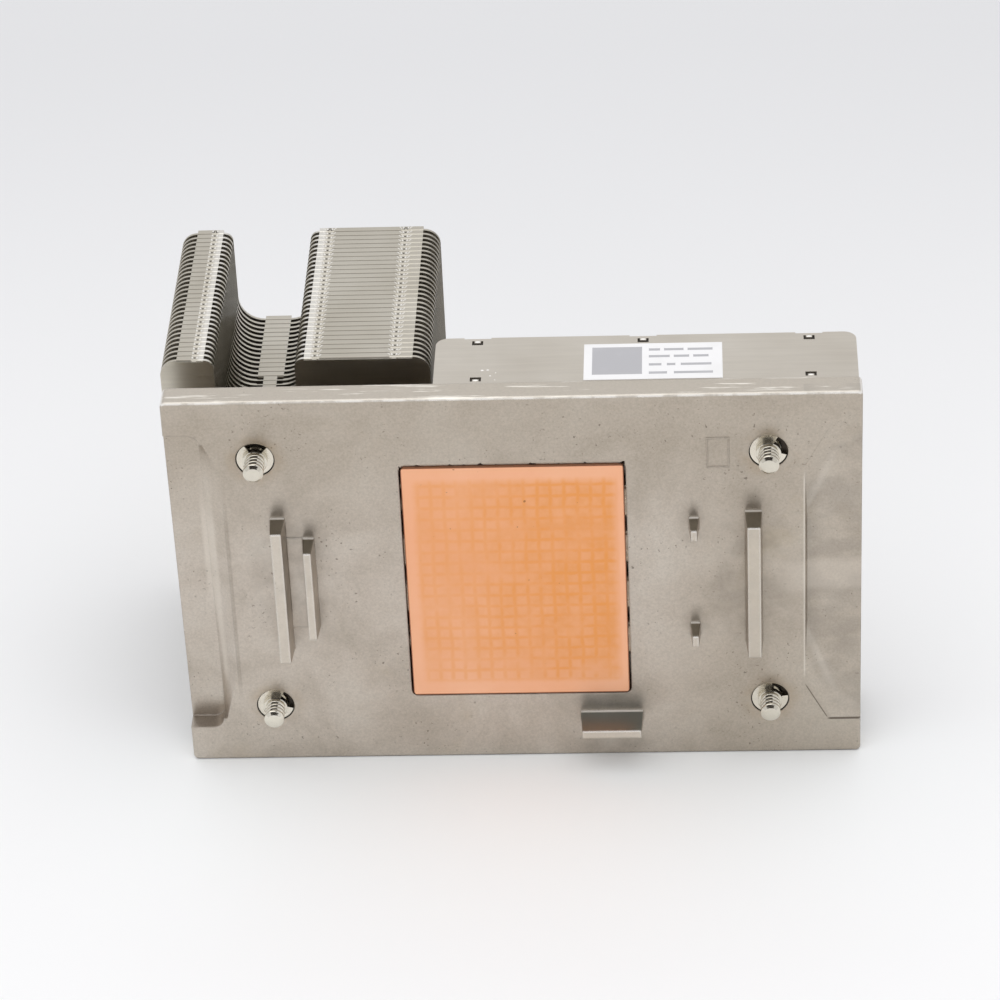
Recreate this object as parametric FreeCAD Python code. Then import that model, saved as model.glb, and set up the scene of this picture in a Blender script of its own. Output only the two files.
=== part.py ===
import FreeCAD, Part
import math
import os

from FreeCAD import Vector

# Passive heatsink for a server processor. Millimetres, +Z up.
#
# It stands on one long edge. The contact face looks towards -Y, the fins grow towards +Y, and the
# long side of the base plate runs along X. The origin is the centre of the copper contact face,
# which is also the centre of the four screws.
#
# A cast base plate frames a copper contact block. Four flattened heat pipes lie in grooves across
# both, turn away from the plate and carry a tower of fins that are parallel to the plate. Beside
# the tower a low stack of fins stands on the plate, at right angles to it. Four captive sprung
# screws reach through the plate, each held by a C-ring in a counterbore.

# ---------------------------------------------------------------- driving dimensions
# Base plate
PLATE_LENGTH = 127.7
PLATE_HEIGHT = 81.3
PLATE_THICKNESS = 5.4
PLATE_OFFSET_X = 0.25        # middle of the plate, measured from the middle of the screws
PLATE_CORNER_R = 1.0
PLATE_EDGE_CHAMFER = 0.3

# Contact block
CONTACT_WIDTH = 40.9
CONTACT_HEIGHT = 51.5
CONTACT_PROUD = 0.25         # how far its face stands in front of the plate
CONTACT_CORNER_R = 0.8
WINDOW_GAP = 0.4             # open joint between the block and the plate

# Screws
SCREW_PITCH_X = 94.0
SCREW_PITCH_Z = 56.0
SCREW_STANDOUT = 5.0         # tip in front of the plate at rest
TIP_CHAMFER = 0.5            # across and along
THREAD_R = 1.9
SHANK_R = 2.3
SHANK_STANDOUT = 0.9         # shank in front of the plate, before the thread starts
HEAD_R = 4.0
HEAD_THICKNESS = 2.8
RECESS_DEPTH = 1.6
RECESS_WIDTH = 1.1
RECESS_SPAN = 4.4
SHANK_CLEARANCE = 0.15       # radial, in the plate

# C-rings, in a groove of the shank, seated in the counterbore
RING_THICKNESS = 0.8
RING_WALL = 1.35
RING_OPENING = 75.0          # degrees
RING_CLEARANCE = 0.1         # radial, in the groove
RING_AXIAL_CLEARANCE = 0.05
RING_SEAT_GAP = 0.02         # ring to the floor of the counterbore
RING_GROOVE_DEPTH = 0.35
COUNTERBORE_DEPTH = 1.1
COUNTERBORE_CLEARANCE = 0.2  # radial, around the ring

# Springs
SPRING_LENGTH = 9.4          # compressed between plate and head, screw at rest
SPRING_WIRE = 0.8
SPRING_TURNS = 6.0
SPRING_CLEARANCE = 0.45      # radial, around the shank
SPRING_SEAT_GAP = 0.05

# Heat pipes
PIPE_DIAMETER = 6.0
PIPE_FLAT_THICKNESS = 3.0
PIPE_PITCH_Z = 10.4
PIPE_END_X = 58.0
PIPE_BEND_R = 9.0
PIPE_TRANSITION = 5.0        # length over which the flat pipe becomes round
PIPE_CLEARANCE = 0.05        # solder film
PIPE_STANDOUT = 1.6          # sealed tip behind the last fin
PIPE_TIP_LENGTH = 2.1
PIPE_TIP_R = 1.35
INNER_RISER_X = -47.5        # where the two middle pipes go up through the tower
OUTER_RISER_X = -29.5        # where the two outer pipes do

# Sheet fins
FIN_THICKNESS = 0.35
FIN_GAP = 0.02               # end of a flange to the next fin
FLANGE_BEND_R = 0.45

# Tower
TOWER_FINS = 30
TOWER_PITCH = 1.58
TOWER_CLEARANCE = 9.1        # back of the plate to the first fin
TOWER_LEFT = -65.0
TOWER_RIGHT = -14.9
TOWER_OUTER_R = 3.2
TOWER_INNER_R = 1.8
VALLEY_HALF_WIDTH = 7.5      # screwdriver way in the tower
VALLEY_SHIFT_X = -0.5        # middle of that way, measured from the screws
VALLEY_FLOOR_INSET = 7.0     # its floor, inside the axis of the screws
VALLEY_R = 5.0
NARROW_TAB_FINS = 16         # the fins nearest the plate have a short tab on the valley floor
NARROW_TAB_WIDTH = 2.6

# Low stack
STACK_LEFT = -14.0
STACK_RIGHT = 63.6
STACK_HEIGHT = 16.1          # above the back of the plate
STACK_PITCH = 1.7
STACK_INSET = 0.55           # top fin below the long edge of the plate
STACK_CORNER_R = 2.4
POCKET_HALF = 7.5            # room around a screw, where the fins are short
CLIP_COUNT = 3               # U-shaped clip windows along each long side of the top fin
CLIP_WIDTH = 2.05
CLIP_HEIGHT = 1.4
CLIP_SLOT = 0.45             # the two legs of a window
CLIP_BAR = 0.7               # the slot that joins them
CLIP_PITCH_X = 30.6
CLIP_FIRST_X = -6.25
CLIP_EDGE = 1.1              # window to the nearest long edge of the fin
CLIP_NOTCH_WIDTH = 5.0       # the far edge is set back behind each clip

# Label
LABEL_LENGTH = 25.4
LABEL_HEIGHT = 12.2
LABEL_THICKNESS = 0.12
LABEL_LEFT = 13.5
LABEL_ABOVE_PLATE = 0.8

# Ribs on the contact side: middle X, middle Z, width, length, height
LEFT_LONG_RIB = (-43.8, 0.2, 2.8, 30.0, 5.2)
LEFT_SHORT_RIB = (-38.3, 0.5, 2.2, 20.3, 5.0)
RIGHT_LONG_RIB = (44.15, 0.2, 3.2, 30.0, 5.5)
UPPER_STUB = (33.15, 12.4, 1.9, 3.0, 4.3)
LOWER_STUB = (33.15, -11.4, 1.9, 3.1, 4.4)
EDGE_LUG = (17.0, -31.45, 11.9, 2.4, 6.2)
RIB_DRAFT = 0.38             # each side, over the whole height
WEB_HEIGHT = 0.2             # pad between the two left ribs

# Clearance recesses at the two short edges of the contact side
RECESS_TOP_MARGIN = 7.25     # to the long edges of the plate
RECESS_BOTTOM_MARGIN = 7.6
RECESS_UPPER_SLANT = 8.8     # length along Z of the slanted corners
LEFT_RECESS_FLOOR_X = -57.2
LEFT_RECESS_RIM_X = -53.5
LEFT_RECESS_TOP_DEPTH = 1.2
LEFT_RECESS_BOTTOM_DEPTH = 4.0
LEFT_RECESS_CORNER_R = 2.0
LEFT_RECESS_LOWER_SLANT = 13.45
LEFT_RECESS_END_SHARE = 0.2  # how much of the slanted side is left at both ends
RIGHT_RECESS_RIM_X = 53.6
RIGHT_RECESS_DEPTH = 0.9
RIGHT_RECESS_CORNER = 4.9    # width along X of the slanted corners
RIGHT_RECESS_LOWER_SLANT = 11.45
RIGHT_RECESS_WALL_RUN = 0.5  # run of the inner wall, and of the walls at both ends
RIGHT_RECESS_END_RUN = 2.4
RIGHT_RECESS_RAMP_RUN = 5.9  # run of the corner ramps along Z

# Construction
REACH = 1.0                  # how far a cutting shape passes the face that it opens
OVERLAP = 0.1                # how far shapes that are joined run into each other
HAIR = 0.02                  # keeps two nearly equal outlines from coinciding
SAME = 1e-6                  # lengths below this count as none

# ---------------------------------------------------------------- derived places
PLATE_FRONT = CONTACT_PROUD
PLATE_BACK = PLATE_FRONT + PLATE_THICKNESS
PLATE_LEFT = PLATE_OFFSET_X - PLATE_LENGTH / 2
PLATE_RIGHT = PLATE_OFFSET_X + PLATE_LENGTH / 2
PLATE_TOP = PLATE_HEIGHT / 2

SCREW_TIP_Y = PLATE_FRONT - SCREW_STANDOUT
THREAD_START_Y = PLATE_FRONT - SHANK_STANDOUT
RING_SEAT_Y = PLATE_FRONT + COUNTERBORE_DEPTH
RING_BACK_Y = RING_SEAT_Y - RING_SEAT_GAP
RING_FRONT_Y = RING_BACK_Y - RING_THICKNESS
RING_GROOVE_R = SHANK_R - RING_GROOVE_DEPTH
RING_INNER_R = RING_GROOVE_R + RING_CLEARANCE
RING_OUTER_R = RING_INNER_R + RING_WALL
COUNTERBORE_R = RING_OUTER_R + COUNTERBORE_CLEARANCE
HEAD_SEAT_Y = PLATE_BACK + SPRING_LENGTH

PIPE_R = PIPE_DIAMETER / 2
PIPE_FLAT_WIDTH = PIPE_FLAT_THICKNESS + math.pi * (PIPE_DIAMETER - PIPE_FLAT_THICKNESS) / 2
PIPE_FLOOR_Y = PLATE_BACK - PIPE_FLAT_THICKNESS
PIPE_AXIS_Y = PIPE_FLOOR_Y + PIPE_R

TOWER_START_Y = PLATE_BACK + TOWER_CLEARANCE
TOWER_END_Y = TOWER_START_Y + TOWER_FINS * TOWER_PITCH
VALLEY_X = VALLEY_SHIFT_X - SCREW_PITCH_X / 2
VALLEY_LEFT = VALLEY_X - VALLEY_HALF_WIDTH
VALLEY_RIGHT = VALLEY_X + VALLEY_HALF_WIDTH
VALLEY_FLOOR_Z = SCREW_PITCH_Z / 2 - VALLEY_FLOOR_INSET

STACK_TOP_Z = PLATE_TOP - STACK_INSET
STACK_BACK_Y = PLATE_BACK + STACK_HEIGHT
STACK_FINS = int(2 * STACK_TOP_Z / STACK_PITCH)

RECESS_TOP_Z = PLATE_TOP - RECESS_TOP_MARGIN
RECESS_BOTTOM_Z = RECESS_BOTTOM_MARGIN - PLATE_TOP
RECESS_UPPER_CORNER_Z = RECESS_TOP_Z - RECESS_UPPER_SLANT

# Name, X, Z and direction of the ring's opening (degrees from +X towards +Z) of each screw
SCREWS = (
    ("top_left", -SCREW_PITCH_X / 2, SCREW_PITCH_Z / 2, 85.0),
    ("top_right", SCREW_PITCH_X / 2, SCREW_PITCH_Z / 2, 22.0),
    ("bottom_left", -SCREW_PITCH_X / 2, -SCREW_PITCH_Z / 2, 22.0),
    ("bottom_right", SCREW_PITCH_X / 2, -SCREW_PITCH_Z / 2, 45.0),
)

# Name, Z and riser X of each heat pipe
PIPES = (
    ("upper_outer", 1.5 * PIPE_PITCH_Z, OUTER_RISER_X),
    ("upper_inner", 0.5 * PIPE_PITCH_Z, INNER_RISER_X),
    ("lower_inner", -0.5 * PIPE_PITCH_Z, INNER_RISER_X),
    ("lower_outer", -1.5 * PIPE_PITCH_Z, OUTER_RISER_X),
)


# ---------------------------------------------------------------- shapes used by several pieces
def block(x0, x1, y0, y1, z0, z1):
    """A box between two corners."""
    return Part.makeBox(x1 - x0, y1 - y0, z1 - z0, Vector(x0, y0, z0))


def rod_y(x, z, radius, y0, y1):
    """A round bar along Y."""
    return Part.makeCylinder(radius, y1 - y0, Vector(x, y0, z), Vector(0, 1, 0))


def rounded_wire(corners):
    """A closed outline through (point, radius) corners, each rounded by a tangent arc."""
    edges = []
    joints = []
    count = len(corners)
    for i, (point, radius) in enumerate(corners):
        before = (corners[i - 1][0] - point).normalize()
        after = (corners[(i + 1) % count][0] - point).normalize()
        if radius == 0:
            joints.append((point, None, point))
            continue
        half_angle = before.getAngle(after) / 2
        reach = radius / math.tan(half_angle)
        middle = (before + after).normalize()
        centre = point + middle * (radius / math.sin(half_angle))
        joints.append((point + before * reach, centre - middle * radius, point + after * reach))
    for i, (start, middle, end) in enumerate(joints):
        if middle is not None:
            edges.append(Part.Arc(start, middle, end).toShape())
        next_start = joints[(i + 1) % count][0]
        if (next_start - end).Length > SAME:
            edges.append(Part.LineSegment(end, next_start).toShape())
    return Part.Wire(edges)


def rounded_plate(x0, x1, z0, z1, radius, y0, y1):
    """A rectangular plate across Y with rounded corners."""
    points = (Vector(x0, y0, z0), Vector(x1, y0, z0), Vector(x1, y0, z1), Vector(x0, y0, z1))
    face = Part.Face(rounded_wire([(point, radius) for point in points]))
    return face.extrude(Vector(0, y1 - y0, 0))


def ruled_loft(outlines):
    """A solid with flat or ruled sides through closed outlines of the same number of points."""
    wires = [Part.makePolygon([Vector(*p) for p in outline] + [Vector(*outline[0])])
             for outline in outlines]
    return Part.makeLoft(wires, True, True)


def pipe_slot(z, riser_x, clearance):
    """The straight groove of one flattened heat pipe, open at the back."""
    half = PIPE_FLAT_WIDTH / 2 + clearance
    bend_centre = riser_x + PIPE_BEND_R
    sunk = PIPE_BEND_R + PIPE_AXIS_Y - PLATE_BACK
    outer = PIPE_BEND_R + PIPE_R
    left = bend_centre - math.sqrt(outer ** 2 - sunk ** 2) - 2 * clearance
    return block(left, PIPE_END_X + clearance, PIPE_FLOOR_Y - clearance,
                 PLATE_BACK + PIPE_R, z - half, z + half)


# ---------------------------------------------------------------- base plate
def drafted_rib(middle_x, middle_z, width, length, height):
    """A cast rib on the contact side that narrows towards its crest."""
    def outline(y, draft):
        half_x = width / 2 - draft
        half_z = length / 2 - draft
        return [(middle_x - half_x, y, middle_z - half_z), (middle_x + half_x, y, middle_z - half_z),
                (middle_x + half_x, y, middle_z + half_z), (middle_x - half_x, y, middle_z + half_z)]
    root_y = PLATE_FRONT + WEB_HEIGHT
    return ruled_loft([outline(root_y, 0), outline(PLATE_FRONT - height, RIB_DRAFT)])


def left_recess():
    """A ramp that deepens towards the lower end, with a slanted side towards the middle."""
    outside = PLATE_LEFT - REACH
    front = PLATE_FRONT - REACH

    def depth_at(z):
        share = (RECESS_TOP_Z - z) / (RECESS_TOP_Z - RECESS_BOTTOM_Z)
        return LEFT_RECESS_TOP_DEPTH + share * (LEFT_RECESS_BOTTOM_DEPTH - LEFT_RECESS_TOP_DEPTH)

    floor_top = PLATE_FRONT + depth_at(RECESS_TOP_Z)
    floor_bottom = PLATE_FRONT + depth_at(RECESS_BOTTOM_Z)
    wedge = ruled_loft([
        [(x, front, RECESS_BOTTOM_Z), (x, floor_bottom, RECESS_BOTTOM_Z),
         (x, floor_top, RECESS_TOP_Z), (x, front, RECESS_TOP_Z)]
        for x in (outside, LEFT_RECESS_FLOOR_X)])
    column = rounded_plate(outside - LEFT_RECESS_CORNER_R, LEFT_RECESS_FLOOR_X,
                           RECESS_BOTTOM_Z, RECESS_TOP_Z, LEFT_RECESS_CORNER_R, front, PLATE_BACK)
    side_x = LEFT_RECESS_FLOOR_X - OVERLAP
    full_width = LEFT_RECESS_RIM_X - LEFT_RECESS_FLOOR_X
    sides = []
    for z, share in ((RECESS_TOP_Z - LEFT_RECESS_CORNER_R, LEFT_RECESS_END_SHARE),
                     (RECESS_UPPER_CORNER_Z, 1), (RECESS_BOTTOM_Z + LEFT_RECESS_LOWER_SLANT, 1),
                     (RECESS_BOTTOM_Z + LEFT_RECESS_CORNER_R, LEFT_RECESS_END_SHARE)):
        rim = LEFT_RECESS_FLOOR_X + share * full_width
        sides.append([(side_x, PLATE_FRONT + depth_at(z), z), (rim, PLATE_FRONT, z),
                      (rim, front, z), (side_x, front, z)])
    return wedge.common(column).fuse(ruled_loft(sides))


def right_recess():
    """A shallow pocket whose corners ramp down to its floor."""
    outside = PLATE_RIGHT + REACH
    corner_x = RIGHT_RECESS_RIM_X + RIGHT_RECESS_CORNER
    lower_corner_z = RECESS_BOTTOM_Z + RIGHT_RECESS_LOWER_SLANT
    rim = [(RIGHT_RECESS_RIM_X, RECESS_UPPER_CORNER_Z), (corner_x, RECESS_TOP_Z),
           (outside, RECESS_TOP_Z), (outside, RECESS_BOTTOM_Z),
           (corner_x, RECESS_BOTTOM_Z), (RIGHT_RECESS_RIM_X, lower_corner_z)]
    floor_x = RIGHT_RECESS_RIM_X + RIGHT_RECESS_WALL_RUN
    floor_corner_x = corner_x + RIGHT_RECESS_END_RUN
    ramp = RIGHT_RECESS_RAMP_RUN
    floor = [(floor_x, RECESS_UPPER_CORNER_Z - 2 * ramp), (floor_corner_x, RECESS_TOP_Z - ramp),
             (outside, RECESS_TOP_Z - RIGHT_RECESS_END_RUN),
             (outside, RECESS_BOTTOM_Z + RIGHT_RECESS_END_RUN),
             (floor_corner_x, RECESS_BOTTOM_Z + ramp), (floor_x, lower_corner_z + 2 * ramp)]
    rim_y = PLATE_FRONT - HAIR
    return ruled_loft([[(x, rim_y, z) for x, z in rim],
                       [(x, PLATE_FRONT + RIGHT_RECESS_DEPTH, z) for x, z in floor]])


def base_plate():
    plate = rounded_plate(PLATE_LEFT, PLATE_RIGHT, -PLATE_TOP, PLATE_TOP, PLATE_CORNER_R,
                          PLATE_FRONT, PLATE_BACK)
    rim = [edge for edge in plate.Edges
           if abs(edge.BoundBox.YMin - edge.BoundBox.YMax) < SAME]
    plate = plate.makeChamfer(PLATE_EDGE_CHAMFER, rim)
    ribs = [drafted_rib(*rib) for rib in
            (LEFT_LONG_RIB, LEFT_SHORT_RIB, RIGHT_LONG_RIB, UPPER_STUB, LOWER_STUB, EDGE_LUG)]
    web = block(LEFT_LONG_RIB[0], LEFT_SHORT_RIB[0], PLATE_FRONT - WEB_HEIGHT,
                PLATE_FRONT + WEB_HEIGHT, LEFT_SHORT_RIB[1] - LEFT_SHORT_RIB[3] / 2,
                LEFT_SHORT_RIB[1] + LEFT_SHORT_RIB[3] / 2)
    plate = plate.fuse(ribs + [web])

    half_x = CONTACT_WIDTH / 2 + WINDOW_GAP
    half_z = CONTACT_HEIGHT / 2 + WINDOW_GAP
    cuts = [rounded_plate(-half_x, half_x, -half_z, half_z, CONTACT_CORNER_R + WINDOW_GAP,
                          PLATE_FRONT - REACH, PLATE_BACK + REACH)]
    for _, x, z, _ in SCREWS:
        cuts.append(rod_y(x, z, COUNTERBORE_R, PLATE_FRONT - REACH, RING_SEAT_Y))
        cuts.append(rod_y(x, z, SHANK_R + SHANK_CLEARANCE, PLATE_FRONT, PLATE_BACK + REACH))
    for _, z, riser_x in PIPES:
        cuts.append(pipe_slot(z, riser_x, PIPE_CLEARANCE))
    return plate.cut(cuts + [left_recess(), right_recess()])


# ---------------------------------------------------------------- contact block and heat pipes
def contact_block():
    half_x = CONTACT_WIDTH / 2
    half_z = CONTACT_HEIGHT / 2
    body = rounded_plate(-half_x, half_x, -half_z, half_z, CONTACT_CORNER_R, 0, PLATE_BACK)
    return body.cut([pipe_slot(z, riser_x, PIPE_CLEARANCE) for _, z, riser_x in PIPES])


def pipe_section(x, z, width, height):
    """An outline across X, flat below and above and round at the sides, on the groove floor."""
    half_flat = (width - height) / 2
    radius = height / 2
    middle_y = PIPE_FLOOR_Y + radius
    low = Vector(x, PIPE_FLOOR_Y, z)
    high = Vector(x, PIPE_FLOOR_Y + height, z)
    shift = Vector(0, 0, half_flat)
    side = Vector(x, middle_y, z)
    out = Vector(0, 0, half_flat + radius)
    edges = [Part.Arc(low + shift, side + out, high + shift).toShape(),
             Part.Arc(high - shift, side - out, low - shift).toShape()]
    edges.insert(1, Part.LineSegment(high + shift, high - shift).toShape())
    edges.append(Part.LineSegment(low - shift, low + shift).toShape())
    return Part.Wire(edges)


def heat_pipe(z, riser_x):
    bend_x = riser_x + PIPE_BEND_R
    flat_x = bend_x + PIPE_TRANSITION
    flat_wire = pipe_section(flat_x, z, PIPE_FLAT_WIDTH, PIPE_FLAT_THICKNESS)
    flat = Part.Face(flat_wire).extrude(Vector(PIPE_END_X - flat_x, 0, 0))
    circle = Part.Face(Part.Wire(Part.makeCircle(PIPE_R, Vector(bend_x, PIPE_AXIS_Y, z),
                                                 Vector(1, 0, 0))))
    nearly_round = pipe_section(bend_x, z, PIPE_DIAMETER + HAIR, PIPE_DIAMETER)
    change = Part.makeLoft([flat_wire, nearly_round], True, False)
    bend_centre = Vector(bend_x, PIPE_AXIS_Y + PIPE_BEND_R, z)
    bend = circle.revolve(bend_centre, Vector(0, 0, -1), 90)
    tip_y = TOWER_END_Y + PIPE_STANDOUT
    taper_y = tip_y - PIPE_TIP_LENGTH
    riser = rod_y(riser_x, z, PIPE_R, bend_centre.y, taper_y)
    tip = Part.makeCone(PIPE_R, PIPE_TIP_R, PIPE_TIP_LENGTH, Vector(riser_x, taper_y, z),
                        Vector(0, 1, 0))
    return flat.fuse([change, bend, riser, tip])


# ---------------------------------------------------------------- tower fins
def tower_fin(index):
    """One fin parallel to the plate, with flanges on the straight stretches of its long edges."""
    y = TOWER_START_Y + index * TOWER_PITCH
    upper = [(TOWER_LEFT, PLATE_TOP, TOWER_OUTER_R), (VALLEY_LEFT, PLATE_TOP, TOWER_INNER_R),
             (VALLEY_LEFT, VALLEY_FLOOR_Z, VALLEY_R), (VALLEY_RIGHT, VALLEY_FLOOR_Z, VALLEY_R),
             (VALLEY_RIGHT, PLATE_TOP, TOWER_INNER_R), (TOWER_RIGHT, PLATE_TOP, TOWER_OUTER_R)]
    lower = [(x, -z, radius) for x, z, radius in reversed(upper)]
    outline = rounded_wire([(Vector(x, y, z), radius) for x, z, radius in upper + lower])
    body = Part.Face(outline).extrude(Vector(0, FIN_THICKNESS, 0))
    holes = [rod_y(riser_x, z, PIPE_R + PIPE_CLEARANCE, y - REACH, y + REACH)
             for _, z, riser_x in PIPES]

    tab = NARROW_TAB_WIDTH / 2
    if index < NARROW_TAB_FINS:
        floor_band = (VALLEY_X - tab, VALLEY_X + tab)
    else:
        floor_band = (VALLEY_LEFT + VALLEY_R, VALLEY_RIGHT - VALLEY_R)
    bands = ((TOWER_LEFT + TOWER_OUTER_R, VALLEY_LEFT - TOWER_INNER_R, PLATE_TOP),
             (*floor_band, VALLEY_FLOOR_Z),
             (VALLEY_RIGHT + TOWER_INNER_R, TOWER_RIGHT - TOWER_OUTER_R, PLATE_TOP))
    flange_end = y + TOWER_PITCH - FIN_GAP
    flanges = []
    bends = []
    for x0, x1, z in bands:
        flanges.append(block(x0, x1, y, flange_end, z - FIN_THICKNESS, z))
        flanges.append(block(x0, x1, y, flange_end, -z, -z + FIN_THICKNESS))
        for side in (1, -1):
            z0, z1 = sorted((side * z, side * (z - FLANGE_BEND_R)))
            corner = block(x0, x1, y, y + FLANGE_BEND_R, z0, z1)
            axis = Vector(x0, y + FLANGE_BEND_R, side * (z - FLANGE_BEND_R))
            round_part = Part.makeCylinder(FLANGE_BEND_R, x1 - x0, axis, Vector(1, 0, 0))
            bends.append(corner.cut(round_part))
    return body.fuse(flanges).cut(bends + holes).removeSplitter()


# ---------------------------------------------------------------- low stack
def stack_fin(index, right):
    """One fin at right angles to the plate, from the left end of the stack to x = right."""
    top = STACK_TOP_Z - index * STACK_PITCH
    bottom = top - FIN_THICKNESS
    corners = [(STACK_LEFT, PLATE_BACK, 0), (right, PLATE_BACK, 0),
               (right, STACK_BACK_Y, STACK_CORNER_R), (STACK_LEFT, STACK_BACK_Y, STACK_CORNER_R)]
    outline = rounded_wire([(Vector(x, y, bottom), radius) for x, y, radius in corners])
    body = Part.Face(outline).extrude(Vector(0, 0, FIN_THICKNESS))
    flange_end = top - STACK_PITCH + FIN_GAP
    back_flange = block(STACK_LEFT + STACK_CORNER_R, right - STACK_CORNER_R,
                        STACK_BACK_Y - FIN_THICKNESS, STACK_BACK_Y, flange_end, top)
    foot = block(STACK_LEFT, right, PLATE_BACK, PLATE_BACK + FIN_THICKNESS, flange_end, top)
    return body.fuse([back_flange, foot]).removeSplitter()


def clip_window(x, y, direction):
    """A U-shaped slot through the top fin, open towards +Y or -Y."""
    z0 = STACK_TOP_Z - FIN_THICKNESS - OVERLAP
    z1 = STACK_TOP_Z + OVERLAP
    half = CLIP_WIDTH / 2
    base_y, end_y = (y, y + CLIP_HEIGHT) if direction > 0 else (y - CLIP_HEIGHT, y)
    bar_y = base_y if direction > 0 else end_y - CLIP_BAR
    bar = block(x - half, x + half, bar_y, bar_y + CLIP_BAR, z0, z1)
    left = block(x - half, x - half + CLIP_SLOT, base_y, end_y, z0, z1)
    right = block(x + half - CLIP_SLOT, x + half, base_y, end_y, z0, z1)
    return bar.fuse([left, right])


def top_stack_fin():
    """The whole fin that closes the stack, with its clip windows and the notches behind them."""
    cuts = []
    for number in range(CLIP_COUNT):
        x = CLIP_FIRST_X + number * CLIP_PITCH_X
        cuts.append(clip_window(x, STACK_BACK_Y - CLIP_EDGE - CLIP_HEIGHT, 1))
        cuts.append(clip_window(x, PLATE_BACK + CLIP_EDGE + CLIP_HEIGHT, -1))
        half = CLIP_NOTCH_WIDTH / 2
        cuts.append(block(x - half, x + half, STACK_BACK_Y - FIN_THICKNESS, STACK_BACK_Y + REACH,
                          STACK_TOP_Z - STACK_PITCH, STACK_TOP_Z + REACH))
    return stack_fin(0, STACK_RIGHT).cut(cuts)


def stack_groups():
    """The other stack fins, grouped by where they stand: the fins beside a screw are short."""
    groups = {}
    for index in range(1, STACK_FINS):
        middle = STACK_TOP_Z - (index + 0.5) * STACK_PITCH
        from_screw = abs(middle) - SCREW_PITCH_Z / 2
        right = STACK_RIGHT
        if abs(from_screw) < POCKET_HALF + STACK_PITCH / 2:
            name = "stack_fins_upper_pocket" if middle > 0 else "stack_fins_lower_pocket"
            right = SCREW_PITCH_X / 2 - POCKET_HALF
        elif from_screw < 0:
            name = "stack_fins_middle"
        else:
            name = "stack_fins_top_edge" if middle > 0 else "stack_fins_bottom_edge"
        groups.setdefault(name, []).append(stack_fin(index, right))
    return groups


def label():
    """A paper label on the top fin of the stack."""
    y0 = PLATE_BACK + LABEL_ABOVE_PLATE
    return block(LABEL_LEFT, LABEL_LEFT + LABEL_LENGTH, y0, y0 + LABEL_HEIGHT,
                 STACK_TOP_Z, STACK_TOP_Z + LABEL_THICKNESS)


# ---------------------------------------------------------------- screws, rings and springs
def captive_screw(x, z):
    tip = Part.makeCone(THREAD_R - TIP_CHAMFER, THREAD_R, TIP_CHAMFER,
                        Vector(x, SCREW_TIP_Y, z), Vector(0, 1, 0))
    thread = rod_y(x, z, THREAD_R, SCREW_TIP_Y + TIP_CHAMFER, THREAD_START_Y)
    shank = rod_y(x, z, SHANK_R, THREAD_START_Y, HEAD_SEAT_Y)
    head = rod_y(x, z, HEAD_R, HEAD_SEAT_Y, HEAD_SEAT_Y + HEAD_THICKNESS)
    groove_front = RING_FRONT_Y - RING_AXIAL_CLEARANCE
    groove_back = RING_BACK_Y + RING_AXIAL_CLEARANCE
    groove = rod_y(x, z, SHANK_R + REACH, groove_front, groove_back).cut(
        rod_y(x, z, RING_GROOVE_R, groove_front, groove_back))
    top_y = HEAD_SEAT_Y + HEAD_THICKNESS
    half = RECESS_WIDTH / 2
    span = RECESS_SPAN / 2
    floor_y = top_y - RECESS_DEPTH
    cross = block(x - half, x + half, floor_y, top_y + REACH, z - span, z + span).fuse(
        block(x - span, x + span, floor_y, top_y + REACH, z - half, z + half))
    return tip.fuse([thread, shank, head]).cut([groove, cross])


def ring(x, z, opening):
    """A flat C-ring whose gap looks in the direction given, in degrees from +X towards +Z."""
    disc = rod_y(x, z, RING_OUTER_R, RING_FRONT_Y, RING_BACK_Y).cut(
        rod_y(x, z, RING_INNER_R, RING_FRONT_Y, RING_BACK_Y))
    reach = 2 * RING_OUTER_R
    half_gap = math.radians(RING_OPENING / 2)
    middle = math.radians(opening)
    centre = Vector(x, RING_FRONT_Y, z)
    points = [centre]
    for angle in (middle - half_gap, middle, middle + half_gap):
        points.append(centre + Vector(reach * math.cos(angle), 0, reach * math.sin(angle)))
    gap = Part.Face(Part.makePolygon(points + [centre])).extrude(Vector(0, RING_THICKNESS, 0))
    return disc.cut(gap)


def spring(x, z):
    """A coil between the back of the plate and the underside of the head."""
    coil_r = SHANK_R + SPRING_CLEARANCE + SPRING_WIRE / 2
    start_y = PLATE_BACK + SPRING_SEAT_GAP + SPRING_WIRE / 2
    rise = SPRING_LENGTH - 2 * SPRING_SEAT_GAP - SPRING_WIRE
    helix = Part.makeHelix(rise / SPRING_TURNS, rise, coil_r)
    section = Part.Wire(Part.makeCircle(SPRING_WIRE / 2, Vector(coil_r, 0, 0), Vector(0, 1, 0)))
    coil = Part.Wire(helix).makePipeShell([section], True, True)
    coil.rotate(Vector(0, 0, 0), Vector(1, 0, 0), -90)
    coil.translate(Vector(x, start_y, z))
    return coil


# ---------------------------------------------------------------- all pieces
def all_pieces():
    pieces = {"base_plate": base_plate(), "contact_block": contact_block(), "label": label()}
    for name, z, riser_x in PIPES:
        pieces["heat_pipe_" + name] = heat_pipe(z, riser_x)
    for index in range(TOWER_FINS):
        pieces["tower_fin_%02d" % (index + 1)] = tower_fin(index)
    pieces["stack_fin_top"] = top_stack_fin()
    for name, fins in stack_groups().items():
        pieces[name] = Part.makeCompound(fins)
    for name, x, z, opening in SCREWS:
        pieces["screw_" + name] = captive_screw(x, z)
        pieces["ring_" + name] = ring(x, z, opening)
        pieces["spring_" + name] = spring(x, z)
    return pieces


def main():
    os.makedirs("parts", exist_ok=True)
    for name, shape in all_pieces().items():
        if not shape.isValid() or not shape.Solids:
            raise ValueError(name + " is not a valid solid")
        shape.exportStep("parts/" + name + ".step")
        print(name, len(shape.Solids), round(shape.Volume, 2))


main()
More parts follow.
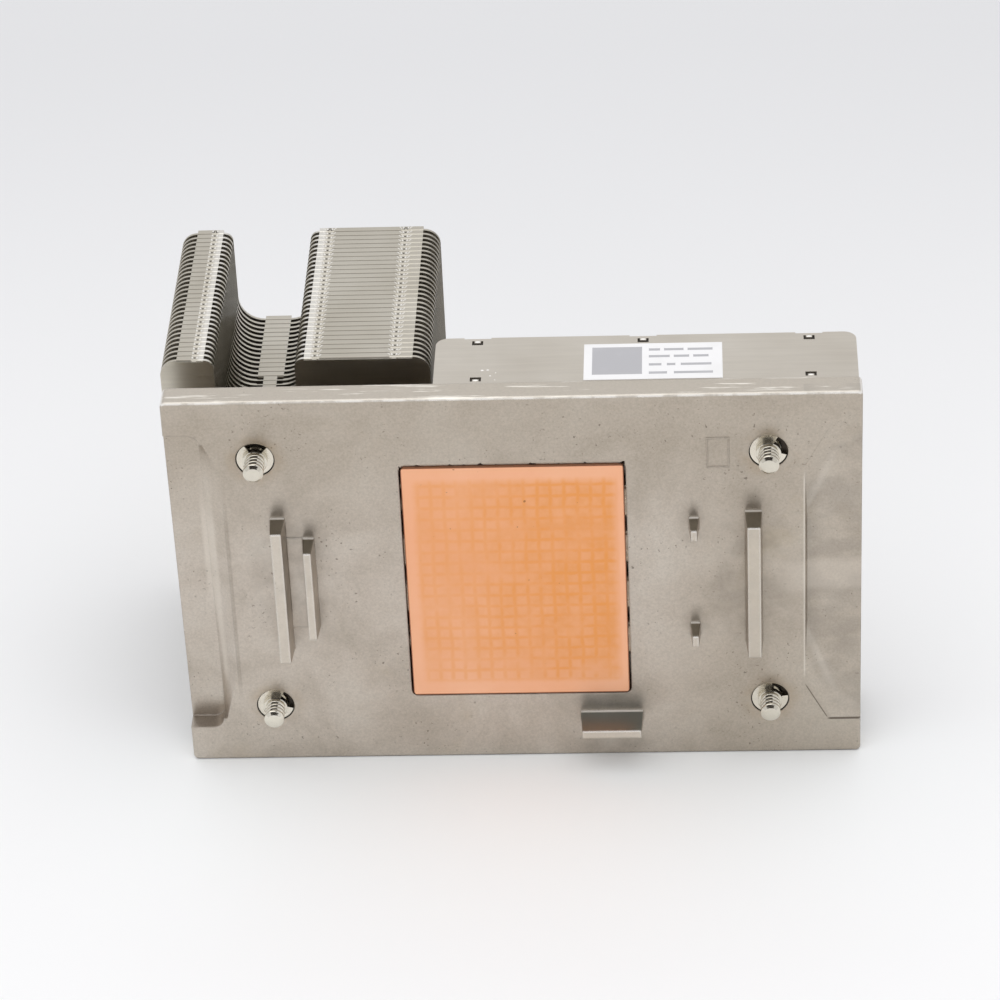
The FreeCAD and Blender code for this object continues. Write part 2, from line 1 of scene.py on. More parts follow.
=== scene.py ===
# %% [markdown]
# # A passive heatsink for a server processor
#
# The solid model comes in as a fixed frame: plate, copper block, heat pipes, fins, rings and
# screws, each already in its place. This lesson gives every piece its finish, and replaces the
# few pieces whose detail is too fine for the solid model: the screws with their threads and the
# coil springs. It then adds the small clips that lock the fins together and the print on the
# label, and sets the light and the camera.
#
# Everything is in metres. X runs along the plate, Y from the contact face towards the fins,
# and Z is up.

# %% Load the frame
import math

import bmesh
import bpy
from mathutils import Matrix, Vector


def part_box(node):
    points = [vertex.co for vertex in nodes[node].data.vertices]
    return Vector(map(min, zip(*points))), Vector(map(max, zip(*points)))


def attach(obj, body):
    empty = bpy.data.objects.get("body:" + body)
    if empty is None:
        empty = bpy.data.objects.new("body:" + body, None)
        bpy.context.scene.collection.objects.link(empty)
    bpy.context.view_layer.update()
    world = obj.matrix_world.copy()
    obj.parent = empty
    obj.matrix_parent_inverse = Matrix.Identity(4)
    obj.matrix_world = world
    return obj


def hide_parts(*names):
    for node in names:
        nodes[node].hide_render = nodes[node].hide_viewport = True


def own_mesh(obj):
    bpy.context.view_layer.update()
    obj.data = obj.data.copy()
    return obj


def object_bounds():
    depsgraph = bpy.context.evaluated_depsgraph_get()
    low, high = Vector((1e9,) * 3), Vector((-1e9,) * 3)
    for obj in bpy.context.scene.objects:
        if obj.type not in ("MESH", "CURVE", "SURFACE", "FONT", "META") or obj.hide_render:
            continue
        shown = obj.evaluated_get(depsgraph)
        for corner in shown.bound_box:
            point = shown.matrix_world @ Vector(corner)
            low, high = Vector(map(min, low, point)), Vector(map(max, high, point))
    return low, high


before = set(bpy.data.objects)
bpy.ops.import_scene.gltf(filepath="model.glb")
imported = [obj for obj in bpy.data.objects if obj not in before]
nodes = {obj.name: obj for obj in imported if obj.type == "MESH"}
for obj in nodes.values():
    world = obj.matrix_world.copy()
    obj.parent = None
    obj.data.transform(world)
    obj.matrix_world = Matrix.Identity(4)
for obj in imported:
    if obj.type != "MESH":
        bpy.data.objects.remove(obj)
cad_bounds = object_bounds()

MM = 0.001
SCREW_NAMES = ("top_left", "top_right", "bottom_left", "bottom_right")

# %% [markdown]
# ## Measures taken from the frame
#
# The pieces that are added later have to meet the solid ones, so their places are read from the
# boxes of the solid pieces instead of being typed in.

# %% Measures
plate_low, plate_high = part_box("base_plate")
first_fin_low, first_fin_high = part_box("tower_fin_01")
last_fin_low, last_fin_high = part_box("tower_fin_30")
top_fin_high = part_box("stack_fin_top")[1]
block_low, block_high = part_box("contact_block")

FIN_COUNT = sum(1 for name in nodes if name.startswith("tower_fin"))
fin_pitch = (last_fin_low.y - first_fin_low.y) / (FIN_COUNT - 1)
plate_back = plate_high.y
plate_top = plate_high.z
plate_front = block_low.y + 0.25 * MM          # the contact face stands this far in front
screw_low, screw_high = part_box("screw_top_right")
screw_x, screw_z = (screw_low.x + screw_high.x) / 2, (screw_low.z + screw_high.z) / 2
print("fin pitch %.2f mm, plate back at y = %.2f mm" % (fin_pitch / MM, plate_back / MM))


# %% [markdown]
# ## Helpers for materials
#
# A material is a small graph of nodes. These helpers keep each recipe short: `add` makes a node
# and fills its sockets, where a value may be a number, a colour or the output of another node.
# An output knows its tree (its `id_data`), so a helper that is given one needs no tree beside it.

# %% Node helpers
def new_material(name):
    """An empty material and its tree."""
    material = bpy.data.materials.new(name)
    material.use_nodes = True
    material.node_tree.nodes.clear()
    return material, material.node_tree


def add(tree, kind, settings=None, **sockets):
    """A node with its settings and sockets; a socket given as an output is linked."""
    node = tree.nodes.new(kind)
    for key, value in (settings or {}).items():
        setattr(node, key, value)
    for key, value in sockets.items():
        socket = node.inputs[int(key[1:])] if key[0] == "i" and key[1:].isdigit() \
            else node.inputs[key.replace("_", " ")]
        if isinstance(value, bpy.types.NodeSocket):
            tree.links.new(value, socket)
        else:
            socket.default_value = value
    return node


def finish_material(material, **sockets):
    """Ends a material in one shader with the given sockets."""
    shader = add(material.node_tree, "ShaderNodeBsdfPrincipled", **sockets)
    add(material.node_tree, "ShaderNodeOutputMaterial", Surface=shader.outputs[0])
    return material


def tree_of(*values):
    """The tree that holds the first node output among some values."""
    return next(value.id_data for value in values if isinstance(value, bpy.types.NodeSocket))


def math_node(operation, *values):
    return add(tree_of(*values), "ShaderNodeMath", {"operation": operation},
               **{"i%d" % index: value for index, value in enumerate(values)}).outputs[0]


def chain(operation, values):
    """Joins several values by one operation, from the first to the last."""
    result, *others = values
    for value in others:
        result = math_node(operation, result, value)
    return result


def multiply(*values):
    return chain("MULTIPLY", values)


def largest(*values):
    return chain("MAXIMUM", values)


def subtract(first, second):
    return math_node("SUBTRACT", first, second)


def absolute(value):
    return math_node("ABSOLUTE", value)


print("node helpers ready")

# %% [markdown]
# ## Helpers for places, masks and colours
#
# A mask is a value that is 1 where a mark shows and 0 where it doesn't. Masks are multiplied to
# show a mark only where they overlap. On the part, the places of masks are in millimetres.


# %% Place and mask helpers
def place(tree, scale=(1, 1, 1)):
    """The surface point in object coordinates, stretched by scale."""
    point = add(tree, "ShaderNodeTexCoord").outputs["Object"]
    return add(tree, "ShaderNodeMapping", i0=point, i3=scale).outputs[0]


def axes(vector):
    """The X, Y and Z of a vector."""
    return tuple(add(vector.id_data, "ShaderNodeSeparateXYZ", i0=vector).outputs)


def millimetres(tree):
    """The X, Y and Z of the surface point in millimetres."""
    return axes(place(tree, (1 / MM, 1 / MM, 1 / MM)))


def length(across, along):
    tree = across.id_data
    vector = add(tree, "ShaderNodeCombineXYZ", X=across, Y=along).outputs[0]
    return add(tree, "ShaderNodeVectorMath", {"operation": "LENGTH"}, i0=vector).outputs["Value"]


def noise(point, scale, detail=4.0, roughness=0.55, distortion=0.0):
    return add(point.id_data, "ShaderNodeTexNoise", Vector=point, Scale=scale, Detail=detail,
               Roughness=roughness, Distortion=distortion).outputs["Fac"]


def between(value, low, high, out_low=0.0, out_high=1.0, smooth=True):
    """Maps a value from low..high to out_low..out_high, held at the ends."""
    kind = "SMOOTHSTEP" if smooth else "LINEAR"
    return add(value.id_data, "ShaderNodeMapRange", {"interpolation_type": kind, "clamp": True},
               i0=value, i1=low, i2=high, i3=out_low, i4=out_high).outputs[0]


def until(value, low, high):
    """1 up to the low end, and 0 from the high end on."""
    return between(value, low, high, 1.0, 0.0)


def band(value, middle, half):
    """1 in a narrow band round a middle value, and 0 outside it."""
    return until(absolute(subtract(value, middle)), 0.5 * half, half)


def oval(x, z, middle_x, middle_z, half_x, half_z):
    """1 inside an oval in X and Z, and 0 outside it."""
    across = math_node("DIVIDE", subtract(x, middle_x), half_x)
    along = math_node("DIVIDE", subtract(z, middle_z), half_z)
    return until(length(across, along), 0.45, 1.0)


# %% Colour and relief helpers
def srgb(red, green, blue):
    """A linear colour from screen values between 0 and 255."""
    def linear(value):
        value /= 255
        return value / 12.92 if value <= 0.04045 else ((value + 0.055) / 1.055) ** 2.4
    return (linear(red), linear(green), linear(blue), 1)


def grey(value):
    return (value, value, value, 1)


def ramp(value, *stops):
    """A colour ramp through (position, colour) stops."""
    node = add(value.id_data, "ShaderNodeValToRGB", i0=value)
    elements = node.color_ramp.elements
    while len(elements) < len(stops):
        elements.new(0.5)
    for element, (position, colour) in zip(elements, stops):
        element.position = position
        element.color = colour
    return node.outputs["Color"]


def tones(value, dark, light):
    """From a dark to a light tone, both in screen values."""
    return ramp(value, (0.3, srgb(*dark)), (0.7, srgb(*light)))


def blend_colours(share, first, second, mode="MIX"):
    """Two colours mixed: the first at a share of 0, the second at 1."""
    settings = {"data_type": "RGBA", "blend_type": mode}
    return add(tree_of(share, first, second), "ShaderNodeMix", settings,
               i0=share, i6=first, i7=second).outputs[2]


def tint(colour, tone, *masks):
    """Lays a tone, in screen values, over a colour where all masks meet."""
    return blend_colours(multiply(*masks), colour, srgb(*tone))


def bump(height, distance, strength=1.0, **normal):
    return add(height.id_data, "ShaderNodeBump", Strength=strength, Distance=distance,
               Height=height, **normal).outputs[0]


def rounded_edges(tree, radius):
    """A normal that rounds the sharp edges, so that they catch the light."""
    return add(tree, "ShaderNodeBevel", {"samples": 4}, Radius=radius).outputs[0]


print("helpers for places, masks and colours ready")

# %% [markdown]
# ## The cast plate
#
# The plate is cast aluminium with a thin nickel layer. Up close it is never one grey: cloudy
# patches from the mould, a fine sand-like grain, dark pinholes and a few warm stains. Each of
# those is a noise of its own size, laid over the one before.

# %% Cast skin
# Soiled spots, and last a painted dark reflection of the lug below it: their middle in X and Z and
# their half sizes, in millimetres.
SMUDGES_AND_LUG_REFLECTION = ((44.2, -0.5, 11, 23), (-41.5, 1, 10, 22), (33.2, 12, 4, 6), (33.2, -12, 4, 6),
           (17, -28.5, 11, 5), (17, -37.5, 9, 3.5))


def cast_skin(tree, colour, x, z, grain, pinholes, blotches):
    """The bare casting: painted shade darkens it upwards and to the right; grainy, stained, smudged,
    and with a painted dark reflection below the lug.
    """
    # painted shade: the plate is darker upwards and to the right
    painted_dim = largest(between(z, -2, 36, 0.0, 0.55), between(x, 15, 45, 0.0, 0.48))
    colour = tint(colour, (179, 168, 152), painted_dim)
    sand = ramp(grain, (0.32, grey(0.45)), (0.66, grey(1.0)))
    colour = blend_colours(0.3, colour, sand, "MULTIPLY")
    colour = tint(colour, (88, 80, 72), pinholes, 0.6)
    stains = between(noise(place(tree), 34, detail=6, roughness=0.66), 0.58, 0.74)
    colour = tint(colour, (178, 164, 138), stains, 0.3)
    # soiled spots, and below the lug a painted dark reflection
    smudge_and_reflection = largest(*(oval(x, z, *spot) for spot in SMUDGES_AND_LUG_REFLECTION))
    return tint(colour, (136, 128, 118), smudge_and_reflection, blotches, 0.34)


print("smudges:", len(SMUDGES_AND_LUG_REFLECTION))

# %% [markdown]
# The screw holes have a little rust round them, and painted shade makes them dark inside. Above
# the copper block a ragged dark line of burnt flux fills the gap: a noise along X sets how far it
# reaches up.


# %% Rust and flux
def rust_flux_and_bore_shade(tree, colour, x, depth, z, from_screw, blotches):
    colour = tint(colour, (164, 142, 112), until(from_screw, 3.6, 6.6), blotches, 0.4)
    # painted shade inside the screw holes
    bore_shade = between(from_screw, 3.62, 3.7, 1.0, 0.0, smooth=False)
    colour = tint(colour, (34, 28, 24), bore_shade, between(depth, 0.1, 0.2), 0.93)

    above_window = subtract(z, block_high.z / MM + 0.4)
    ragged = multiply(noise(place(tree, (420, 1, 1)), 1.0, detail=3), 3.0)
    past_reach = subtract(above_window, subtract(ragged, 1.62))
    return tint(colour, (28, 16, 8), until(past_reach, -0.05, 0.05),
                until(absolute(x), 20.6, 20.9), between(above_window, -0.5, -0.45))


# %% [markdown]
# The plate has a pocket at the right and a recess at the left. The pocket has a mottled floor,
# painted highlights along its rim and along a fold where its corners rise, and painted shade
# beside its edge, along its ledge and along its slanted corners. Beside the slope of the recess
# runs a painted highlight, with a line of painted shade at its foot. These marks stop inside the
# plate and don't show on its back, apart from a soft painted highlight beside the pocket.

# %% Pocket and recess
POCKET_EDGE, POCKET_CORNER, POCKET_LEDGE = 53.5, 24.5, -32.9       # X, height and Z in millimetres
CORNER_UP, CORNER_IN = 0.47, 0.883            # the direction square to the pocket's slanted corners
RECESS_HIGHLIGHT, RECESS_FOOT = -57.0, -53.4


def pocket_marks(tree, colour, x, depth, z, front):
    height = absolute(z)
    from_edge = subtract(x, POCKET_EDGE)
    sunk = multiply(depth, front, between(from_edge, -0.1, 0.0))
    pocket_floor = between(sunk, 0.02, 0.7)
    mottle = between(noise(place(tree, (110, 110, 190)), 1.0, detail=4), 0.38, 0.6)
    colour = tint(colour, (150, 142, 133), pocket_floor, mottle, 0.36)
    # painted highlight along the fold where the pocket's corners rise
    fold_highlight = multiply(between(sunk, 0.4, 0.64), until(sunk, 0.68, 0.84), between(x, 56, 60, 1.0, 0.25))
    colour = tint(colour, (238, 231, 220), fold_highlight, 0.2)
    # painted shade on the pocket floor beside its edge
    colour = tint(colour, (132, 124, 114), pocket_floor, between(from_edge, 0.3, 4.0, 0.35, 0.0))
    # painted highlight: a soft lighter patch beside the pocket, on the back too
    colour = tint(colour, (222, 213, 201), band(z, 0.0, 4.2), between(x, 45, 52), 0.25)
    # painted highlight along the pocket's rim
    rim_highlight = multiply(front, band(from_edge, 0.0, 0.2), until(height, 21, 24))
    colour = tint(colour, (236, 230, 219), rim_highlight, 0.42)

    # painted shade along the ledge and the slanted corners of the pocket
    ledge_shade = multiply(band(z, POCKET_LEDGE, 0.3), between(from_edge, 4.0, 5.0))
    slope = math_node("MULTIPLY_ADD", height, CORNER_UP, multiply(from_edge, -CORNER_IN))
    corner = multiply(band(slope, CORNER_UP * POCKET_CORNER, 0.16),
                      between(height, POCKET_CORNER, POCKET_CORNER + 1),
                      until(height, 32.2, 32.8), between(z, -10, 10, 0.8, 0.15))
    return tint(colour, (92, 83, 74), front, largest(ledge_shade, corner), 0.85)


def recess_marks(tree, colour, x, z, front):
    beside = multiply(front, until(z, 8, 26), between(z, -28, -20))
    # painted highlight beside the slope of the recess
    colour = tint(colour, (226, 218, 206), band(x, RECESS_HIGHLIGHT, 1.6), beside, 0.45)
    # painted shade along the foot of the recess
    return tint(colour, (120, 110, 98), band(x, RECESS_FOOT, 0.5), beside, 0.25)


print("pocket from x = %.1f mm, recess to x = %.1f mm" % (POCKET_EDGE, RECESS_FOOT))

# %% [markdown]
# Near a sharp edge the rounded normal leaves the true one, and there the plate is rubbed and
# carries a painted highlight. The bottom edge carries a painted contact shadow and the creases
# painted shade. The ribs stand proud of the plate: painted shade darkens their ends, and painted
# highlights lie on the fillet at their foot and on their crest. The brinks carry painted
# highlights: they are made matt and near-white, so they stay white where the metal beside them
# looks dark. The long upper edge has been handled most, so it carries bright scratches that run
# along it, on a lighter band of wear and painted highlight.

# %% Edges and ribs
LUG_TO_RIBS = (-27, -20)              # the lug is below this stretch of Z, and the ribs are above


def worn_and_shaded_edges(tree, colour, z, from_screw, rounded, true_normal):
    # painted contact shadow along the bottom edge
    contact_shadow = between(subtract(z, plate_low.z / MM), 0.15, 0.35, 0.6, 0.0)
    colour = tint(colour, (98, 90, 82), contact_shadow)
    # painted shade in the creases, from ambient occlusion
    crease_shade = add(tree, "ShaderNodeAmbientOcclusion", {"samples": 6, "only_local": True},
                  Distance=0.7 * MM).outputs["AO"]
    colour = tint(colour, (104, 90, 76), between(crease_shade, 0.4, 0.8, 0.45, 0.0))
    straight = add(tree, "ShaderNodeVectorMath", {"operation": "DOT_PRODUCT"}, i0=rounded,
                   i1=true_normal).outputs["Value"]
    rubbed = between(noise(place(tree), 420, detail=3), 0.3, 0.55, 0.45, 1.0)
    upper = between(subtract(z, plate_top / MM), -0.9, -0.6, 0.12, 1.0)
    bores = between(from_screw, 4.2, 4.6, 0.4, 0.0)
    # rubbed edges: wear, and a painted highlight along them
    wear_and_highlight = multiply(until(straight, 0.85, 0.97), rubbed, largest(upper, bores))
    return tint(colour, (250, 245, 234), wear_and_highlight, 0.9)


def rib_marks(tree, colour, depth, z, rounded, true_normal):
    """The colour with its ribs and brinks, with their painted shade and highlights, and how matt each
    spot is.
    """
    proud = until(depth, -0.5, -0.2)
    _, facing_y, facing_z = axes(true_normal)
    level = between(facing_z, 0.5, 0.8)
    # painted shade on the level ends of the ribs and of the lug
    end_shade_tone = blend_colours(between(z, *LUG_TO_RIBS), srgb(150, 158, 156), srgb(140, 136, 122))
    ends = multiply(proud, level, between(z, *LUG_TO_RIBS, 0.8, 0.5))
    colour = blend_colours(ends, colour, end_shade_tone)
    # painted highlight on the fillet at the foot of the ribs
    fillet_highlight = multiply(level, band(depth, -0.35, 0.35))
    colour = tint(colour, (238, 232, 220), fillet_highlight, 0.75)
    # painted highlight on the front faces of the ribs and the lug
    crest_highlight = multiply(proud, between(facing_y, -0.95, -0.8, 0.4, 0.0))
    colour = tint(colour, (230, 222, 208), crest_highlight)

    tilt_x, _, tilt_z = axes(rounded)
    sideways = absolute(tilt_x)
    patchy = between(noise(place(tree, (260, 30, 30)), 1.0), 0.4, 0.55, 0.3, 1.0)
    near_top = between(subtract(z, plate_top / MM), -0.7, -0.4, 0.0, 0.8)
    plate_brink_highlight = multiply(near_top, patchy, band(tilt_z, 0.45, 0.42))
    rib_brink_highlight = multiply(proud, band(tilt_z, 0.5, 0.49), until(sideways, 0.12, 0.35))
    flank_highlight = multiply(crest_highlight, band(sideways, 0.35, 0.34))
    # painted highlight: the brinks are made matt and near-white
    matt = largest(plate_brink_highlight, rib_brink_highlight, flank_highlight, multiply(fillet_highlight, 0.45))
    return tint(colour, (255, 254, 250), matt), matt


def scratched_and_lit_top(tree, colour, z):
    # a lighter band along the upper edge: wear and a painted highlight
    upper_wear_and_highlight = between(subtract(z, plate_top / MM), -0.5, -0.05)
    colour = tint(colour, (232, 226, 214), upper_wear_and_highlight, 0.38)
    lines = noise(place(tree, (60, 900, 900)), 1.0, detail=4, roughness=0.7)
    return tint(colour, (252, 247, 236), between(lines, 0.56, 0.66), upper_wear_and_highlight, 0.95)


# %% Cast nickel
def cast_nickel():
    material, tree = new_material("cast_nickel")
    point = place(tree)
    x, y, z = millimetres(tree)
    depth = subtract(y, plate_front / MM)
    front = until(depth, 2.5, 3.0)
    from_screw = length(subtract(absolute(x), screw_x / MM), subtract(absolute(z), screw_z / MM))
    rounded = rounded_edges(tree, 0.5 * MM)
    true_normal = add(tree, "ShaderNodeNewGeometry").outputs["Normal"]

    clouds = noise(point, 60, detail=6, roughness=0.62, distortion=0.5)
    grain = noise(point, 2400, detail=3, roughness=0.75)
    holes = between(noise(point, 1500, detail=2, roughness=0.5), 0.67, 0.73)
    pinholes = multiply(holes, between(noise(point, 80, detail=2), 0.4, 0.66))
    blotches = between(noise(point, 150, detail=5, roughness=0.7), 0.36, 0.66)

    colour = ramp(clouds, (0.28, srgb(186, 176, 163)), (0.5, srgb(203, 193, 181)),
                  (0.74, srgb(212, 204, 193)))
    colour = cast_skin(tree, colour, x, z, grain, pinholes, blotches)
    colour = rust_flux_and_bore_shade(tree, colour, x, depth, z, from_screw, blotches)
    colour = pocket_marks(tree, colour, x, depth, z, front)
    colour = recess_marks(tree, colour, x, z, front)
    colour = worn_and_shaded_edges(tree, colour, z, from_screw, rounded, true_normal)
    colour, matt = rib_marks(tree, colour, depth, z, rounded, true_normal)
    colour = scratched_and_lit_top(tree, colour, z)

    surface = math_node("ADD", multiply(grain, 0.7), multiply(pinholes, -0.8))
    waves = bump(noise(point, 30, detail=2), 0.35 * MM, Normal=rounded)
    return finish_material(material, Base_Color=colour, Metallic=subtract(1.0, matt),
                           Roughness=between(clouds, 0.3, 0.7, 0.42, 0.32),
                           Normal=bump(surface, 0.05 * MM, 0.5, Normal=waves))


CAST_NICKEL = cast_nickel()
print("material:", CAST_NICKEL.name, len(CAST_NICKEL.node_tree.nodes), "nodes")

# %% [markdown]
# ## Bare copper
#
# The contact face is milled copper. It once carried a grease pad printed in square cells, and
# the grease has left a faint orange grid that is stronger in the middle and to the right. The
# grid is made from the distance to the nearest line in X and in Z. A little noise bends the
# lines and lets them fade, because a perfect grid would look drawn. A thin dark rim runs round
# the edge of the face.

# %% Copper with a printed grid
GRID_CELL = 2.46
GRID_MIDDLE = 0.3
GRID_HALF_WIDTH, GRID_HALF_HEIGHT = 18.6, 22.9


def milled_copper():
    material, tree = new_material("milled_copper")
    point = place(tree)
    x, y, z = millimetres(tree)
    wobble = noise(point, 160, detail=2)
    clouds = noise(point, 40, detail=4, roughness=0.55)
    colour = tones(clouds, (245, 178, 135), (250, 192, 155))

    lines, inside, rims = [], [], []
    for along, middle, half, low, high in (
            (x, GRID_MIDDLE, GRID_HALF_WIDTH, block_low.x / MM, block_high.x / MM),
            (z, 0.0, GRID_HALF_HEIGHT, block_low.z / MM, block_high.z / MM)):
        bent = math_node("MULTIPLY_ADD", wobble, 0.9, along)
        from_line = math_node("PINGPONG", bent, GRID_CELL / 2)
        lines.append(until(from_line, 0.08, 0.62))
        away = absolute(subtract(along, middle))
        inside.append(until(away, half - 1.2, half + 0.8))
        from_middle = absolute(subtract(along, (low + high) / 2))
        side = (high - low) / 2
        rims.append(between(from_middle, side - 0.22, side - 0.08))

    printed = multiply(*inside, between(x, -16, 12, 0.55, 1.0))
    blots = between(noise(point, 210, detail=4, roughness=0.65), 0.3, 0.7, 0.55)
    film = multiply(printed, between(z, -26, -12, 0.45, 1.0), blots)
    colour = tint(colour, (237, 162, 98), film, 0.95)
    fading = between(noise(point, 130, detail=3), 0.3, 0.6, 0.1)
    colour = tint(colour, (240, 158, 76), largest(*lines), printed, fading, 0.62)
    near_face = between(subtract(y, block_low.y / MM), 0.1, 0.3, 0.8, 0.0)
    colour = tint(colour, (132, 66, 38), largest(*rims), near_face)
    specks = between(noise(point, 700, detail=1), 0.76, 0.8)
    colour = tint(colour, (120, 78, 40), specks, 0.6)
    return finish_material(material, Base_Color=colour, Metallic=0.55, Roughness=0.46,
                           Normal=bump(noise(point, 500, detail=2), 0.02 * MM, 0.3))


MILLED_COPPER = milled_copper()
print("material:", MILLED_COPPER.name)

# %% [markdown]
# ## Sheet fins, pipes and small steel parts
#
# Fins are thin nickel-plated sheet. They are smoother than the casting, with faint rolling lines
# along their length, so one recipe with its own tint and line direction serves both stacks. On
# the tower the seams between the folded edges get painted shade, two strips beside the clip rows
# get a painted highlight, and the outer right side gets painted shade. The heat pipes, screws and
# rings are smoother still.


# %% Sheet and turned metals
def seam_shade_strength(x, height):
    """How strong the painted shade in the seams between the folded edges is: least beside the clip
    rows.
    """
    closed = 0.2
    left_side = between(x, -59.2, -58.9, 1.0, closed)
    right_side = multiply(between(x, -35.5, -35.2, closed, 1.0),
                          between(x, -22.5, -22.2, 1.0, closed))
    return largest(left_side, right_side, until(height, 34, 36))


def folded_edges(tree, colour):
    """The tower's seams and outer side with painted shade, and two strips with a painted highlight.
    """
    x, _, z = millimetres(tree)
    facing_x, facing_y, facing_z = axes(add(tree, "ShaderNodeNewGeometry").outputs["Normal"])
    level = absolute(facing_z)
    # painted shade in the seams between the folded edges
    seam_shade = multiply(between(facing_y, -0.42, -0.1, 0.75, 0.0), between(level, 0.5, 0.75))
    colour = tint(colour, (62, 55, 47), seam_shade, seam_shade_strength(x, absolute(z)))
    # painted highlight on two strips beside the clip rows
    bright_strip_highlight = largest(band(x, -56.6, 1.6), band(x, -37.9, 1.4))
    colour = tint(colour, (248, 246, 241), bright_strip_highlight, between(level, 0.8, 0.95, 0.0, 0.6))
    # painted shade on the outer right side
    outer_side_shade = multiply(between(facing_x, 0.3, 0.7, 0.0, 0.55), between(x, -20, -18))
    return tint(colour, (112, 103, 92), outer_side_shade)


def plated_sheet(name, dark, light, rough, stretch, folded=False, metallic=1.0):
    """Plated sheet metal whose rolling lines follow the direction least stretched."""
    material, tree = new_material(name)
    lines = noise(place(tree, stretch), 1.0, detail=3, roughness=0.6)
    colour = tones(noise(place(tree), 45, detail=3), dark, light)
    rolled = ramp(lines, (0.35, grey(0.78)), (0.65, grey(1.0)))
    colour = blend_colours(0.25, colour, rolled, "MULTIPLY")
    if folded:
        colour = folded_edges(tree, colour)
    return finish_material(material, Base_Color=colour, Metallic=metallic,
                           Roughness=between(lines, 0.3, 0.7, rough + 0.04, rough - 0.04),
                           Normal=bump(lines, 0.015 * MM, 0.4))


TOWER_SHEET = plated_sheet("tower_sheet", (196, 190, 176), (212, 207, 195), 0.34,
                           (70, 1500, 1500), folded=True)
STACK_SHEET = plated_sheet("stack_sheet", (206, 199, 187), (218, 212, 201), 0.38, (50, 900, 1500))
# a near-white painted highlight for the clip lips, the window tongues and the drops of solder
CLIP_HIGHLIGHT = plated_sheet("clip_highlight", (246, 243, 236), (252, 250, 246), 0.3, (900, 900, 900),
                          metallic=0.3)
PIPE_METAL = plated_sheet("plated_pipe", (196, 182, 160), (212, 200, 180), 0.3, (300, 300, 900))
TURNED_STEEL = plated_sheet("turned_steel", (212, 206, 192), (232, 227, 214), 0.15,
                            (900, 1800, 900))
RING_STEEL = plated_sheet("ring_steel", (218, 211, 196), (236, 230, 217), 0.24, (700, 1200, 700))
SPRING_STEEL = plated_sheet("spring_steel", (150, 149, 146), (178, 177, 173), 0.26,
                            (900, 900, 900))
print("materials:", len(bpy.data.materials))

# %% [markdown]
# ## Two-tone finishes
#
# The clip holes are only a few tenths of a millimetre wide, and no light comes back out of them,
# so they get painted shade: a dull, almost black metal, a soft noise between two tones. The notches
# and the sheets under the clip windows get it too. The dark card near the end of the lesson is
# made the same way.


# %% Dark openings
def two_tone(name, scale, dark, light, **sockets):
    material, tree = new_material(name)
    colour = tones(noise(place(tree), scale, detail=2), dark, light)
    return finish_material(material, Base_Color=colour, **sockets)


# painted shade for the clip holes, the notches and the sheets under the windows
CLIP_SHADE = two_tone("clip_shade", 1800, (62, 58, 54), (84, 80, 74), Metallic=0.3, Roughness=0.8)
print("material:", CLIP_SHADE.name)

# %% [markdown]
# ## Label paper and ink
#
# The label is matt white paper with a slight fibre. Its print carries no words here, only plain
# fields of grey, so the ink needs no more than a soft edge and a little unevenness.


# %% Paper and ink
def paper(name, light, dark, rough):
    material, tree = new_material(name)
    point = place(tree)
    fibre = noise(point, 1400, detail=3)
    soil = between(noise(point, 120, detail=4), 0.45, 0.7, 0.0, 0.35)
    return finish_material(material, Roughness=rough, Normal=bump(fibre, 0.01 * MM, 0.3),
                           Base_Color=blend_colours(soil, srgb(*light), srgb(*dark)))


LABEL_PAPER = paper("label_paper", (240, 240, 240), (226, 226, 224), 0.55)
LABEL_INK = paper("label_ink", (180, 180, 183), (198, 198, 201), 0.6)
print("materials:", LABEL_PAPER.name, LABEL_INK.name)

# %% Give every solid piece its finish
FINISHES = (("base_plate", CAST_NICKEL), ("contact_block", MILLED_COPPER),
            ("heat_pipe", PIPE_METAL), ("tower_fin", TOWER_SHEET), ("stack_fin", STACK_SHEET),
            ("screw", TURNED_STEEL), ("ring", RING_STEEL), ("spring", SPRING_STEEL),
            ("label", LABEL_PAPER))
for name, node in nodes.items():
    finish = next(material for start, material in FINISHES if name.startswith(start))
    node.data.materials.clear()
    node.data.materials.append(finish)
print("finished", len(nodes), "solid pieces")


# %% [markdown]
# ## Helpers for meshes
#
# Small shapes are made point by point. Most are closed solids between two outlines of the same
# number of points, and the commonest of those is a prism along Y.

# %% Mesh helpers
def mesh_data(mesh, name, closed=True):
    """Turns a bmesh into a mesh; the faces of a closed one point outwards."""
    if closed:
        bmesh.ops.recalc_face_normals(mesh, faces=mesh.faces)
    data = bpy.data.meshes.new(name)
    mesh.to_mesh(data)
    mesh.free()
    return data


def new_object(name, data, material=None):
    """Puts a mesh, a lamp or a camera into the scene."""
    if material is not None:
        data.materials.append(material)
    piece = bpy.data.objects.new(name, data)
    bpy.context.scene.collection.objects.link(piece)
    return piece


def add_solid(mesh, near, far):
    """A closed solid between two outlines with as many points each."""
    near = [mesh.verts.new(point) for point in near]
    far = [mesh.verts.new(point) for point in far]
    mesh.faces.new(near)
    mesh.faces.new(list(reversed(far)))
    for index in range(len(near)):
        after = (index + 1) % len(near)
        mesh.faces.new((near[index], far[index], far[after], near[after]))


def add_prism(mesh, outline, y0, y1):
    """A closed prism along Y from an outline of (x, z) points."""
    add_solid(mesh, [(x, y0, z) for x, z in outline], [(x, y1, z) for x, z in outline])


def rectangle(x0, x1, z0, z1):
    return [(x0, z0), (x1, z0), (x1, z1), (x0, z1)]


HAIR = 0.01 * MM                     # keeps two faces a hair apart
print("mesh helpers ready")

# %% [markdown]
# ## Geometry Nodes in a script
#
# What repeats is made by Geometry Nodes. Each tree has named inputs, so that one tree serves
# several pieces. After the sizes are set, the result is turned into a plain mesh and the modifier
# goes, because the exported model keeps meshes and not recipes.


